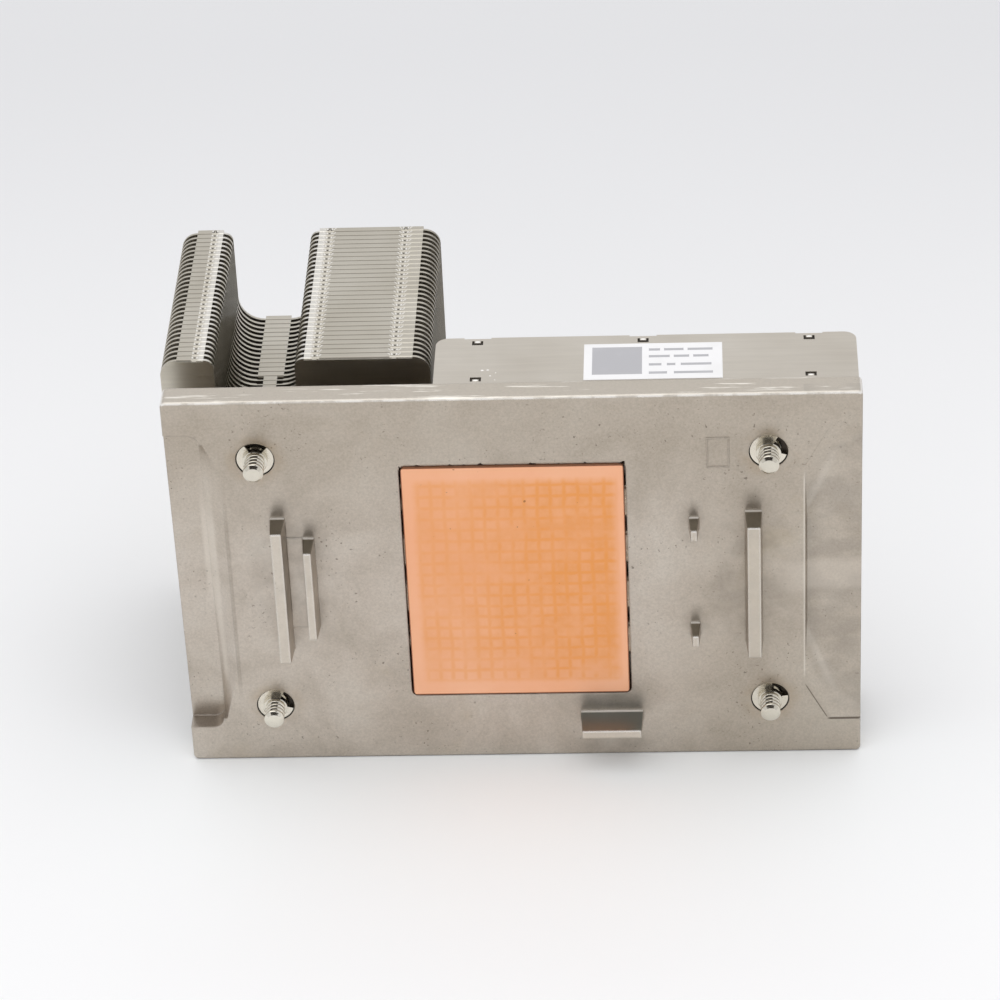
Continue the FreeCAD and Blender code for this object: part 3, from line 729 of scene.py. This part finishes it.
# %% Geometry Nodes helpers
def new_tree(name, **inputs):
    """A geometry tree with one output and inputs that are given as name=kind."""
    tree = bpy.data.node_groups.new(name, "GeometryNodeTree")
    tree.interface.new_socket("Geometry", in_out="OUTPUT", socket_type="NodeSocketGeometry")
    for label, kind in inputs.items():
        tree.interface.new_socket(label, in_out="INPUT", socket_type="NodeSocket" + kind)
    return tree, tree.nodes.new("NodeGroupInput").outputs, tree.nodes.new("NodeGroupOutput")


def finish_tree(tree, geometry, output, material):
    """Ends a tree in Realize Instances and Set Material."""
    real = add(tree, "GeometryNodeRealizeInstances", Geometry=geometry)
    painted = add(tree, "GeometryNodeSetMaterial", Geometry=real.outputs[0], Material=material)
    tree.links.new(painted.outputs[0], output.inputs[0])
    print("tree:", tree.name, len(tree.nodes), "nodes")
    return tree


def plain_mesh(piece):
    """The mesh of a piece after its modifiers, free of them."""
    bpy.context.view_layer.update()
    evaluated = piece.evaluated_get(bpy.context.evaluated_depsgraph_get())
    return bpy.data.meshes.new_from_object(evaluated)


def grow(name, tree, values, start=None):
    """Runs a tree with its named values and returns the result as an object with a plain mesh."""
    carrier = new_object(name + "_recipe", start or bpy.data.meshes.new(name + "_start"))
    modifier = carrier.modifiers.new("grow", "NODES")
    modifier.node_group = tree
    for item in tree.interface.items_tree:
        if item.in_out == "INPUT" and item.name in values:
            modifier[item.identifier] = values[item.name]
    mesh = plain_mesh(carrier)
    bpy.data.objects.remove(carrier)
    mesh.name = name
    print(name, len(mesh.polygons), "faces")
    return new_object(name, mesh)


# %% [markdown]
# ## The coil springs
#
# A spring is one wire wound round the screw, with the first and the last turn laid flat so that
# it stands square on the plate. A spiral gives the winding and a small circle the wire. Each
# spring gets shorter when its screw is pressed in.

# %% Spring tree
def spring_tree():
    tree, given, output = new_tree("coil_spring", Radius="Float", Wire="Float", Length="Float",
                                   Turns="Float", Place="Vector")
    spiral = add(tree, "GeometryNodeCurveSpiral", Resolution=28, Rotations=given["Turns"],
                 Start_Radius=given["Radius"], End_Radius=given["Radius"], Height=0.0)
    along = add(tree, "GeometryNodeSplineParameter").outputs["Factor"]
    turn = multiply(along, given["Turns"])
    free = between(turn, 0.6, subtract(given["Turns"], 1.0), given["Wire"],
                   subtract(given["Length"], given["Wire"]))
    first = between(turn, 0.0, 1.0, 0.0, given["Wire"], smooth=False)
    up = add(tree, "ShaderNodeCombineXYZ", Z=largest(first, free)).outputs[0]
    wound = add(tree, "GeometryNodeSetPosition", Geometry=spiral.outputs[0], Offset=up)
    section = add(tree, "GeometryNodeCurvePrimitiveCircle", Resolution=12,
                  Radius=math_node("DIVIDE", given["Wire"], 2.0))
    wire = add(tree, "GeometryNodeCurveToMesh", Curve=wound.outputs[0],
               Profile_Curve=section.outputs[0], Fill_Caps=True)
    laid = add(tree, "GeometryNodeTransform", Geometry=wire.outputs[0],
               Rotation=(math.radians(-90), 0, 0), Translation=given["Place"])
    smooth = add(tree, "GeometryNodeSetShadeSmooth", Geometry=laid.outputs[0])
    return finish_tree(tree, smooth.outputs[0], output, SPRING_STEEL)


SPRING_TREE = spring_tree()
WIRE = 0.8 * MM
COIL_RADIUS = 3.15 * MM
BEHIND_PLATE = 9.4 * MM               # from the back of the plate to the screw's head
seat_gap = 0.05 * MM
spring_room = BEHIND_PLATE - 2 * seat_gap

# %% Wind the four springs
for name in SCREW_NAMES:
    low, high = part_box("screw_" + name)
    middle = (low + high) / 2
    foot = Vector((middle.x, plate_back + seat_gap + WIRE / 2, middle.z))
    coil = grow("coil_" + name, SPRING_TREE, {
        "Radius": COIL_RADIUS, "Wire": WIRE, "Length": spring_room, "Turns": 6.0,
        "Place": foot})
    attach(coil, "heatsink")
    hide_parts("spring_" + name)
    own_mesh(coil)

# %% [markdown]
# ## The captive screws
#
# A screw is turned from one bar, so its outline is a list of distances along the axis with a
# radius at each. The thread is the one part that isn't round: there the radius rises and falls
# with both the distance and the angle, which winds a single ridge round the bar. The driver
# recess is a plain cross, cut out of the head with a Boolean.

# %% Screw outline
AROUND = 48
THREAD_PITCH = 1.0 * MM
THREAD_DEPTH = 0.45 * MM
THREAD_RADIUS = 1.86 * MM
THREAD_STEPS = 60
SHANK_RADIUS, GROOVE_RADIUS = 2.3 * MM, 1.95 * MM
GROOVE = (0.48 * MM, 1.38 * MM)       # the ring sits between these two places on the axis
HEAD_RADIUS, HEAD_HEIGHT = 4.0 * MM, 2.8 * MM


def screw_outline(low, high):
    """(distance along Y, radius, thread strength) rows from the tip to the head."""
    tip = low.y
    thread_from, thread_to = tip + 0.42 * MM, tip + 4.05 * MM
    head = high.y - HEAD_HEIGHT
    rows = [(tip, 1.3 * MM, 0), (tip + 0.03 * MM, 1.36 * MM, 0), (tip + 0.36 * MM, 1.76 * MM, 0)]
    for step in range(THREAD_STEPS + 1):
        share = step / THREAD_STEPS
        fade = min(1.0, share * 12, (1 - share) * 12)
        rows.append((thread_from + share * (thread_to - thread_from), THREAD_RADIUS, fade))
    rows += [(thread_to + 0.02 * MM, 2.16 * MM, 0), (thread_to + 0.14 * MM, SHANK_RADIUS, 0),
             (GROOVE[0], SHANK_RADIUS, 0), (GROOVE[0], GROOVE_RADIUS, 0),
             (GROOVE[1], GROOVE_RADIUS, 0), (GROOVE[1], SHANK_RADIUS, 0),
             (head, SHANK_RADIUS, 0), (head, HEAD_RADIUS - 0.15 * MM, 0),
             (head + 0.15 * MM, HEAD_RADIUS, 0), (high.y - 0.5 * MM, HEAD_RADIUS, 0),
             (high.y - 0.12 * MM, HEAD_RADIUS - 0.14 * MM, 0), (high.y, HEAD_RADIUS - 0.5 * MM, 0)]
    return rows


def turned_screw(name, low, high):
    """The closed outer skin of one screw, about its own axis."""
    middle = (low + high) / 2
    mesh = bmesh.new()
    rings = []
    for distance, radius, thread in screw_outline(low, high):
        ring = []
        for index in range(AROUND):
            angle = 2 * math.pi * index / AROUND
            turn = (distance / THREAD_PITCH + index / AROUND) % 1.0
            ridge = min(1.0, 1.4 * (1 - abs(2 * turn - 1)))
            reach = radius - THREAD_DEPTH * thread * (1 - ridge) ** 1.3
            ring.append(mesh.verts.new((middle.x + reach * math.cos(angle), distance,
                                        middle.z + reach * math.sin(angle))))
        rings.append(ring)
    for below, above in zip(rings, rings[1:]):
        for index in range(AROUND):
            after = (index + 1) % AROUND
            mesh.faces.new((below[index], below[after], above[after], above[index]))
    mesh.faces.new(rings[0])
    mesh.faces.new(list(reversed(rings[-1])))
    return new_object(name, mesh_data(mesh, name))


print("screw: %d steps of thread, %d points around" % (THREAD_STEPS, AROUND))


# %% Driver recess
def cross_cutter(middle, top):
    """A plus-shaped prism that is sunk into the head."""
    half, span, depth = 0.55 * MM, 2.2 * MM, 1.6 * MM
    outline = [(span, half), (half, half), (half, span), (-half, span), (-half, half),
               (-span, half), (-span, -half), (-half, -half), (-half, -span), (half, -span),
               (half, -half), (span, -half)]
    mesh = bmesh.new()
    add_prism(mesh, [(middle.x + x, middle.z + z) for x, z in outline], top - depth, top + MM)
    return new_object("cross", mesh_data(mesh, "cross"))


def cut_with(piece, cutter):
    """Subtracts the cutter from the piece and removes both cutter and modifier."""
    modifier = piece.modifiers.new("cut", "BOOLEAN")
    modifier.operation = "DIFFERENCE"
    modifier.solver = "EXACT"
    modifier.object = cutter
    result = plain_mesh(piece)
    piece.modifiers.clear()
    piece.data = result
    bpy.data.objects.remove(cutter)


# %% Turn the four screws
for name in SCREW_NAMES:
    low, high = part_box("screw_" + name)
    screw = turned_screw("threaded_" + name, low, high)
    cut_with(screw, cross_cutter((low + high) / 2, high.y))
    screw.data.materials.clear()
    screw.data.materials.append(TURNED_STEEL)
    screw.data.shade_smooth()
    screw.data.set_sharp_from_angle(angle=math.radians(32))
    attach(screw, "turning_screw_" + name)
    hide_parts("screw_" + name)
    print(screw.name, len(screw.data.polygons), "faces")

# %% [markdown]
# ## The edges and clips of the tower fins
#
# Thirty fins of the same outline stand one pitch apart, so whatever belongs to one outline is
# modelled once and repeated along Y. One small tree does that for any starting mesh: a line of
# points, the mesh on each of them, and the result made real.


# %% Row tree
def row_tree(material):
    tree, given, output = new_tree("along_the_fins_" + material.name, Geometry="Geometry",
                                   Count="Int", Step="Vector")
    line = add(tree, "GeometryNodeMeshLine", Count=given["Count"], Offset=given["Step"])
    rows = add(tree, "GeometryNodeInstanceOnPoints", Points=line.outputs[0],
               Instance=given["Geometry"])
    return finish_tree(tree, rows.outputs[0], output, material)


def in_a_row(name, tree, mesh, count=FIN_COUNT, step=(0, fin_pitch, 0)):
    """Repeats small shapes from one fin to the next, or by another count and step."""
    return grow(name, tree, {"Count": count, "Step": step}, mesh_data(mesh, name + "_once"))


SHEET_ROW = row_tree(TOWER_SHEET)
SHADE_ROW = row_tree(CLIP_SHADE)
HIGHLIGHT_ROW = row_tree(CLIP_HIGHLIGHT)

# %% [markdown]
# ## Curled corners
#
# Where a fin turns a corner its folded edge can't follow, so it thins out to a narrow curl. The
# curls catch the light, and the gaps between them stay black, which gives the corners of the
# tower their stripes. A curl is a thin arc just inside the corner of the fin.

# %% Curled corners
CURL_DEPTH = 0.26 * MM
CURL_THICKNESS = 0.3 * MM
ARC_STEPS = 8
FIN_SHEET = 0.35 * MM
VALLEY_WIDTH = 15.0 * MM
OUTER_R, INNER_R, FILLET_R = 3.2 * MM, 1.8 * MM, 5.0 * MM
tower_top = first_fin_high.z
left, right = first_fin_low.x, first_fin_high.x
valley_middle = -screw_x - 0.5 * MM
valley_left, valley_right = valley_middle - VALLEY_WIDTH / 2, valley_middle + VALLEY_WIDTH / 2
valley_floor = screw_z - 7.0 * MM


def corner_arc(middle_x, middle_z, radius, start, end, inward):
    """The outline of a thin arc between two angles in degrees; inward is -1 at a fillet."""
    outer, inner = [], []
    for step in range(ARC_STEPS + 1):
        angle = math.radians(start + (end - start) * step / ARC_STEPS)
        for points, reach in ((outer, radius), (inner, radius - inward * CURL_THICKNESS)):
            points.append((middle_x + reach * math.cos(angle), middle_z + reach * math.sin(angle)))
    return outer + inner[::-1]


ARCS = ((left + OUTER_R, tower_top - OUTER_R, OUTER_R - HAIR, 180, 90, 1),
        (valley_left - INNER_R, tower_top - INNER_R, INNER_R - HAIR, 90, 0, 1),
        (valley_left + FILLET_R, valley_floor + FILLET_R, FILLET_R + HAIR, 180, 270, -1),
        (valley_right - FILLET_R, valley_floor + FILLET_R, FILLET_R + HAIR, 270, 360, -1),
        (valley_right + INNER_R, tower_top - INNER_R, INNER_R - HAIR, 180, 90, 1),
        (right - OUTER_R, tower_top - OUTER_R, OUTER_R - HAIR, 90, 0, 1))
curls = bmesh.new()
curl_y = first_fin_low.y + FIN_SHEET
for side in (1, -1):
    for arc in ARCS:
        add_prism(curls, [(x, side * z) for x, z in corner_arc(*arc)], curl_y, curl_y + CURL_DEPTH)
curl_row = in_a_row("corner_curls", SHEET_ROW, curls)
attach(curl_row, "heatsink")

# %% [markdown]
# ## Clips
#
# Each flange has a small hole with a raised lip on both sides, into which the next fin snaps.
# From above a row of them reads as a dotted line between two bright zigzags. The holes are dimples
# darkened by painted shade, and the lips are thin wedges that lean towards the hole, with a
# near-white finish that is a painted highlight.

# %% Clips
CLIP_ROWS = (-58.45 * MM, -36.2 * MM, -21.5 * MM)
LIP_HEIGHT = 0.14 * MM
HOLE_RADIUS = 0.2 * MM


def add_lip(mesh, x, y, length_y, width, angle):
    """A roof-shaped lip on the flange, turned by an angle in degrees."""
    turn = Matrix.Rotation(math.radians(angle), 3, "Z")
    roof = ((-width / 2, tower_top - HAIR), (width / 2, tower_top - HAIR),
            (0, tower_top + LIP_HEIGHT))
    add_solid(mesh, *([Vector((x, y, 0)) + turn @ Vector((across, along, up))
                       for across, up in roof] for along in (-length_y / 2, length_y / 2)))


lips, holes = bmesh.new(), bmesh.new()
clip_y = first_fin_low.y + 0.95 * MM
for x in CLIP_ROWS:
    for side in (-1, 1):
        add_lip(lips, x + side * 0.42 * MM, clip_y, 0.62 * MM, 0.3 * MM, -side * 8)
        if x != CLIP_ROWS[0]:
            add_lip(lips, x + side * 0.95 * MM, clip_y + 0.1 * MM, 0.85 * MM, 0.16 * MM, -side * 35)
    dot = bmesh.ops.create_circle(holes, cap_ends=True, segments=10, radius=HOLE_RADIUS)["verts"]
    bmesh.ops.translate(holes, verts=dot, vec=(x, clip_y, tower_top + HAIR))
extruded = bmesh.ops.extrude_face_region(holes, geom=holes.faces[:])
bmesh.ops.translate(holes, vec=(0, 0, -2 * HAIR),
                    verts=[item for item in extruded["geom"] if isinstance(item, bmesh.types.BMVert)])
lip_row = in_a_row("clip_lips", HIGHLIGHT_ROW, lips)
hole_row = in_a_row("clip_holes", SHADE_ROW, holes, FIN_COUNT - 1)
for piece in (lip_row, hole_row):
    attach(piece, "heatsink")

# %% [markdown]
# ## Both ends of a clip row
#
# The first fin has nothing in front to snap into, so its tongues stick out as small tabs. The
# last flange is left open, and its empty clips show as dark V-shaped notches, thin sheets of
# painted shade.

# %% Ends of the rows
TAB_FOOT, TAB_TIP, TAB_THICKNESS = 0.5 * MM, 0.4 * MM, 0.25 * MM
# One leg of a notch: how far from the row, and how far before the end of the last flange.
NOTCH_LEG = ((0.0, 0.1 * MM), (0.12 * MM, 0.35 * MM), (0.62 * MM, 0.95 * MM), (0.2 * MM, 1.15 * MM))

tabs, notches = bmesh.new(), bmesh.new()
for x in CLIP_ROWS:
    add_prism(tabs, [(x - TAB_FOOT, tower_top - TAB_THICKNESS),
                     (x + TAB_FOOT, tower_top - TAB_THICKNESS),
                     (x + TAB_TIP, tower_top), (x - TAB_TIP, tower_top)],
              first_fin_low.y - 0.5 * MM, first_fin_low.y + 0.1 * MM)
    for side in (1, -1):
        leg = [(x + side * across, last_fin_high.y - back) for across, back in NOTCH_LEG]
        add_solid(notches, [(*point, tower_top - HAIR) for point in leg],
                  [(*point, tower_top + 2 * HAIR) for point in leg])
for name, mesh, finish in (("clip_tabs", tabs, TOWER_SHEET), ("clip_notches", notches, CLIP_SHADE)):
    piece = new_object(name, mesh_data(mesh, name), finish)
    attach(piece, "heatsink")
print("clip rows:", len(CLIP_ROWS))

# %% [markdown]
# ## Clip windows of the low stack
#
# The top fin of the low stack has six U-shaped windows. Under each one the clip of the next fin
# sits in shade, so a thin dark sheet of painted shade fills the hole, and the tongue in the middle
# is pressed up a little and carries a painted highlight.
# Both repeat along X, so the row tree serves them too. A few drops of solder lie on the fin.

# %% Clip windows
WINDOW_COUNT = 3                      # along each long edge of the fin
WINDOW_PITCH = 30.6 * MM
FIRST_WINDOW = -6.25 * MM
WINDOW_EDGE, WINDOW_DEPTH, WINDOW_BAR = 1.1 * MM, 1.4 * MM, 0.7 * MM
SHADE_HALF_WIDTH, SHADE_OVERLAP = 1.15 * MM, 0.12 * MM
sheet_under = top_fin_high.z - FIN_SHEET


def add_drop(mesh, x, y, half_x, half_y, height):
    """A flat drop that lies on the top fin."""
    drop = bmesh.ops.create_icosphere(mesh, subdivisions=2, radius=1.0)["verts"]
    bmesh.ops.scale(mesh, verts=drop, vec=(half_x, half_y, height))
    bmesh.ops.translate(mesh, verts=drop, vec=(x, y, top_fin_high.z))


window_sheets, tongues = bmesh.new(), bmesh.new()
for near, side in ((plate_back + WINDOW_EDGE, -1),
                   (top_fin_high.y - WINDOW_EDGE - WINDOW_DEPTH, 1)):
    # a thin dark sheet of painted shade under each window
    add_prism(window_sheets, rectangle(FIRST_WINDOW - SHADE_HALF_WIDTH, FIRST_WINDOW + SHADE_HALF_WIDTH,
                               sheet_under - 0.1 * MM, sheet_under - HAIR),
              near - SHADE_OVERLAP, near + WINDOW_DEPTH + SHADE_OVERLAP)
    add_drop(tongues, FIRST_WINDOW, near + (WINDOW_DEPTH + side * WINDOW_BAR) / 2,
             0.5 * MM, 0.3 * MM, 0.12 * MM)
for name, mesh, tree in (("window_clips", window_sheets, SHADE_ROW), ("window_tongues", tongues, HIGHLIGHT_ROW)):
    row = in_a_row(name, tree, mesh, WINDOW_COUNT, (WINDOW_PITCH, 0, 0))
    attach(row, "heatsink")

# %% Drops of solder
# Place in X and Y and half the width, in millimetres.
DROPS = ((-5.1, 10.5, 0.3), (-4.1, 10.6, 0.25), (-3.6, 8.6, 0.2), (-2.6, 9.6, 0.14),
         (-2.7, 7.2, 0.13))
drops = bmesh.new()
for x, y, half in DROPS:
    add_drop(drops, x * MM, y * MM, half * MM, 0.85 * half * MM, 0.06 * MM)
# the drops take the painted-highlight finish
solder = new_object("solder_drops", mesh_data(drops, "solder_drops"), CLIP_HIGHLIGHT)
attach(solder, "heatsink")
print("drops of solder:", len(DROPS))

# %% [markdown]
# ## The print on the label
#
# A real label carries codes and words. This one carries none: a plain grey square on the left
# and four broken grey lines stand where print would be. They are thin sheets on the paper.

# %% Print
label_low, label_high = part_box("label")
INK_HEIGHT = 0.02 * MM
LINE_WIDTH = 0.06


def printed_field(name, x0, x1, y0, y1):
    """A thin rectangle of ink on the label, between shares of its length and width."""
    size = label_high - label_low
    left, right = label_low.x + x0 * size.x, label_low.x + x1 * size.x
    near, far = label_low.y + y0 * size.y, label_low.y + y1 * size.y
    mesh = bmesh.new()
    bmesh.ops.create_cube(mesh, size=1.0)
    for vertex in mesh.verts:
        vertex.co = Vector((left if vertex.co.x < 0 else right, near if vertex.co.y < 0 else far,
                            label_high.z + (0 if vertex.co.z < 0 else INK_HEIGHT)))
    upright = [edge for edge in mesh.edges
               if abs(edge.verts[0].co.z - edge.verts[1].co.z) > INK_HEIGHT / 2]
    bmesh.ops.bevel(mesh, geom=upright, offset=0.12 * MM, segments=2)
    piece = new_object(name, mesh_data(mesh, name, closed=False), LABEL_INK)
    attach(piece, "heatsink")


printed_field("print_square", 0.06, 0.42, 0.14, 0.9)
# Each line of print: where it lies across the label, and where its strokes start and end.
LINES = ((0.79, (0.47, 0.55, 0.58, 0.72, 0.75, 0.93)), (0.6, (0.47, 0.62, 0.65, 0.76, 0.79, 0.9)),
         (0.37, (0.47, 0.56, 0.6, 0.66, 0.7, 0.92)), (0.14, (0.47, 0.6, 0.65, 0.93)))
for number, (near, ends) in enumerate(LINES, 1):
    for stroke, (start, end) in enumerate(zip(ends[::2], ends[1::2]), 1):
        printed_field("print_line_%d_%d" % (number, stroke), start, end, near, near + LINE_WIDTH)
print("label printed:", len(LINES), "lines")

# %% [markdown]
# ## The cast frame
#
# A casting often has a small raised frame for a mould number. Here the frame is empty. It stands
# only a tenth of a millimetre out of the plate, so it shows as a faint outline.

# %% Cast frame
frame_left, frame_right = 35.6 * MM, 39.9 * MM
frame_low, frame_high = 24.6 * MM, 31.3 * MM
line = 0.4 * MM
raised = plate_front - 0.1 * MM
cast = bmesh.new()
for bar in ((frame_left, frame_right, frame_high - line, frame_high),
            (frame_left, frame_right, frame_low, frame_low + line),
            (frame_left, frame_left + line, frame_low + line, frame_high - line),
            (frame_right - line, frame_right, frame_low + line, frame_high - line)):
    add_prism(cast, rectangle(*bar), raised, plate_front + HAIR)
cast_frame = new_object("cast_frame", mesh_data(cast, "cast_frame"), CAST_NICKEL)
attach(cast_frame, "heatsink")
print("cast frame %.1f x %.1f mm" % ((frame_right - frame_left) / MM,
                                     (frame_high - frame_low) / MM))

# %% [markdown]
# ## Floor and surroundings
#
# The part stands on a wide pale table under a plain pale sky. Painted shade makes the table's
# colour a little darker away from the camera, and close in front of the part a painted pool of
# light makes it whitest, against the part's shadow and the glow of the copper. Metal shows what
# is round it, so the surroundings matter as much as the lamps. The camera and mirror-like rays
# see a plain near-white; the light that falls on the part is set apart from that.

# %% Floor
TABLE_REACH = 3.0                     # from the middle to each edge


def pale_floor():
    material, tree = new_material("pale_floor")
    point = place(tree)
    x, y, _ = axes(point)
    # painted shade: the table is darker away from the camera
    share = math_node("MULTIPLY_ADD", noise(point, 9, detail=2), 0.06, between(y, -0.05, 0.33))
    colour = ramp(share, (0.0, srgb(247, 248, 248)), (1.0, srgb(221, 222, 223)))
    # painted light: a whiter patch close in front of the part
    painted_light_patch = multiply(between(y, -0.065, -0.012), until(y, 0.0, 0.02),
                     between(absolute(x), 0.05, 0.1, 0.9, 0.0))
    colour = blend_colours(painted_light_patch, colour, (0.975, 1.0, 1.0, 1))
    return finish_material(material, Base_Color=colour, Roughness=0.75)


floor_mesh = bmesh.new()
bmesh.ops.create_grid(floor_mesh, x_segments=1, y_segments=1, size=TABLE_REACH)
for vertex in floor_mesh.verts:
    vertex.co.z = cad_bounds[0][2]
floor = new_object("floor", mesh_data(floor_mesh, "floor", closed=False), pale_floor())
print("floor at z = %.2f mm" % (cad_bounds[0][2] / MM))

# %% World
world = bpy.data.worlds.new("studio")
bpy.context.scene.world = world
world.use_nodes = True
sky = world.node_tree
sky.nodes.clear()
seen = add(sky, "ShaderNodeBackground", Color=srgb(229, 229, 231), Strength=1.0)
lighting = add(sky, "ShaderNodeBackground", Color=srgb(242, 241, 243), Strength=0.9)
ray = add(sky, "ShaderNodeLightPath").outputs
plain = largest(ray["Is Camera Ray"], ray["Is Glossy Ray"], ray["Is Transmission Ray"])
mixed = add(sky, "ShaderNodeMixShader", i0=plain, i1=lighting.outputs[0], i2=seen.outputs[0])
add(sky, "ShaderNodeOutputWorld", Surface=mixed.outputs[0])
print("world:", world.name)

# %% Lamps
LAMP_PLACE = Vector((-0.05, -0.05, 1.1))
lamp_data = bpy.data.lights.new("overhead", "AREA")
lamp_data.size = 1.6
lamp_data.energy = 6.0
lamp = new_object("overhead", lamp_data)
lamp.location = LAMP_PLACE
lamp.rotation_euler = (-LAMP_PLACE).to_track_quat("-Z", "Y").to_euler()

# %% [markdown]
# ## A dark card
#
# Bright metal only looks like metal when it has something dark to reflect. So a dark card hangs
# behind and above the camera, and its reflection draws the seams between the fins, the ends of
# the ribs and the threads. This card is seen in reflections only, so it doesn't take light away
# from the table.

# %% Dark card
CARD_HALF_WIDTH, CARD_HALF_HEIGHT = 0.75, 0.42
card_middle = Vector((0.0, -1.05, 0.85))
card_side = Vector((1, 0, 0))
card_up = card_side.cross(card_middle.normalized())
card_mesh = bmesh.new()
card_mesh.faces.new([card_mesh.verts.new(card_middle + card_side * CARD_HALF_WIDTH * a
                                         + card_up * CARD_HALF_HEIGHT * b)
                     for a, b in ((-1, -1), (1, -1), (1, 1), (-1, 1))])
card = new_object("dark_card", mesh_data(card_mesh, "dark_card", closed=False),
                  two_tone("dark_card", 6, (46, 42, 40), (58, 54, 51), Roughness=0.9))
card.visible_camera = False
card.visible_diffuse = False
card.visible_shadow = False
print("dark card at", tuple(round(v, 2) for v in card_middle))

# %% [markdown]
# ## Camera
#
# A long lens from above and in front, as for a catalogue picture. The angles are the direction
# of view and a small roll, and the lens is given for a 36 mm wide frame.

# %% Camera
CAMERA_PLACE = Vector((35.213, -662.976, 465.657)) * MM
AZIMUTH, ELEVATION, ROLL = -3.2458, -33.9571, -2.759
camera_data = bpy.data.cameras.new("camera")
camera_data.sensor_width = 36.0
camera_data.lens = 156.646
camera_data.clip_start = 0.01
camera = new_object("camera", camera_data)
turn = (Matrix.Rotation(math.radians(-AZIMUTH), 3, "Z")
        @ Matrix.Rotation(math.radians(90 + ELEVATION), 3, "X")
        @ Matrix.Rotation(math.radians(ROLL), 3, "Z"))
camera.matrix_world = Matrix.Translation(CAMERA_PLACE) @ turn.to_4x4()
bpy.context.scene.camera = camera
bpy.context.scene.view_settings.view_transform = "Standard"
print("camera looks along", tuple(round(v, 3) for v in turn @ Vector((0, 0, -1))))
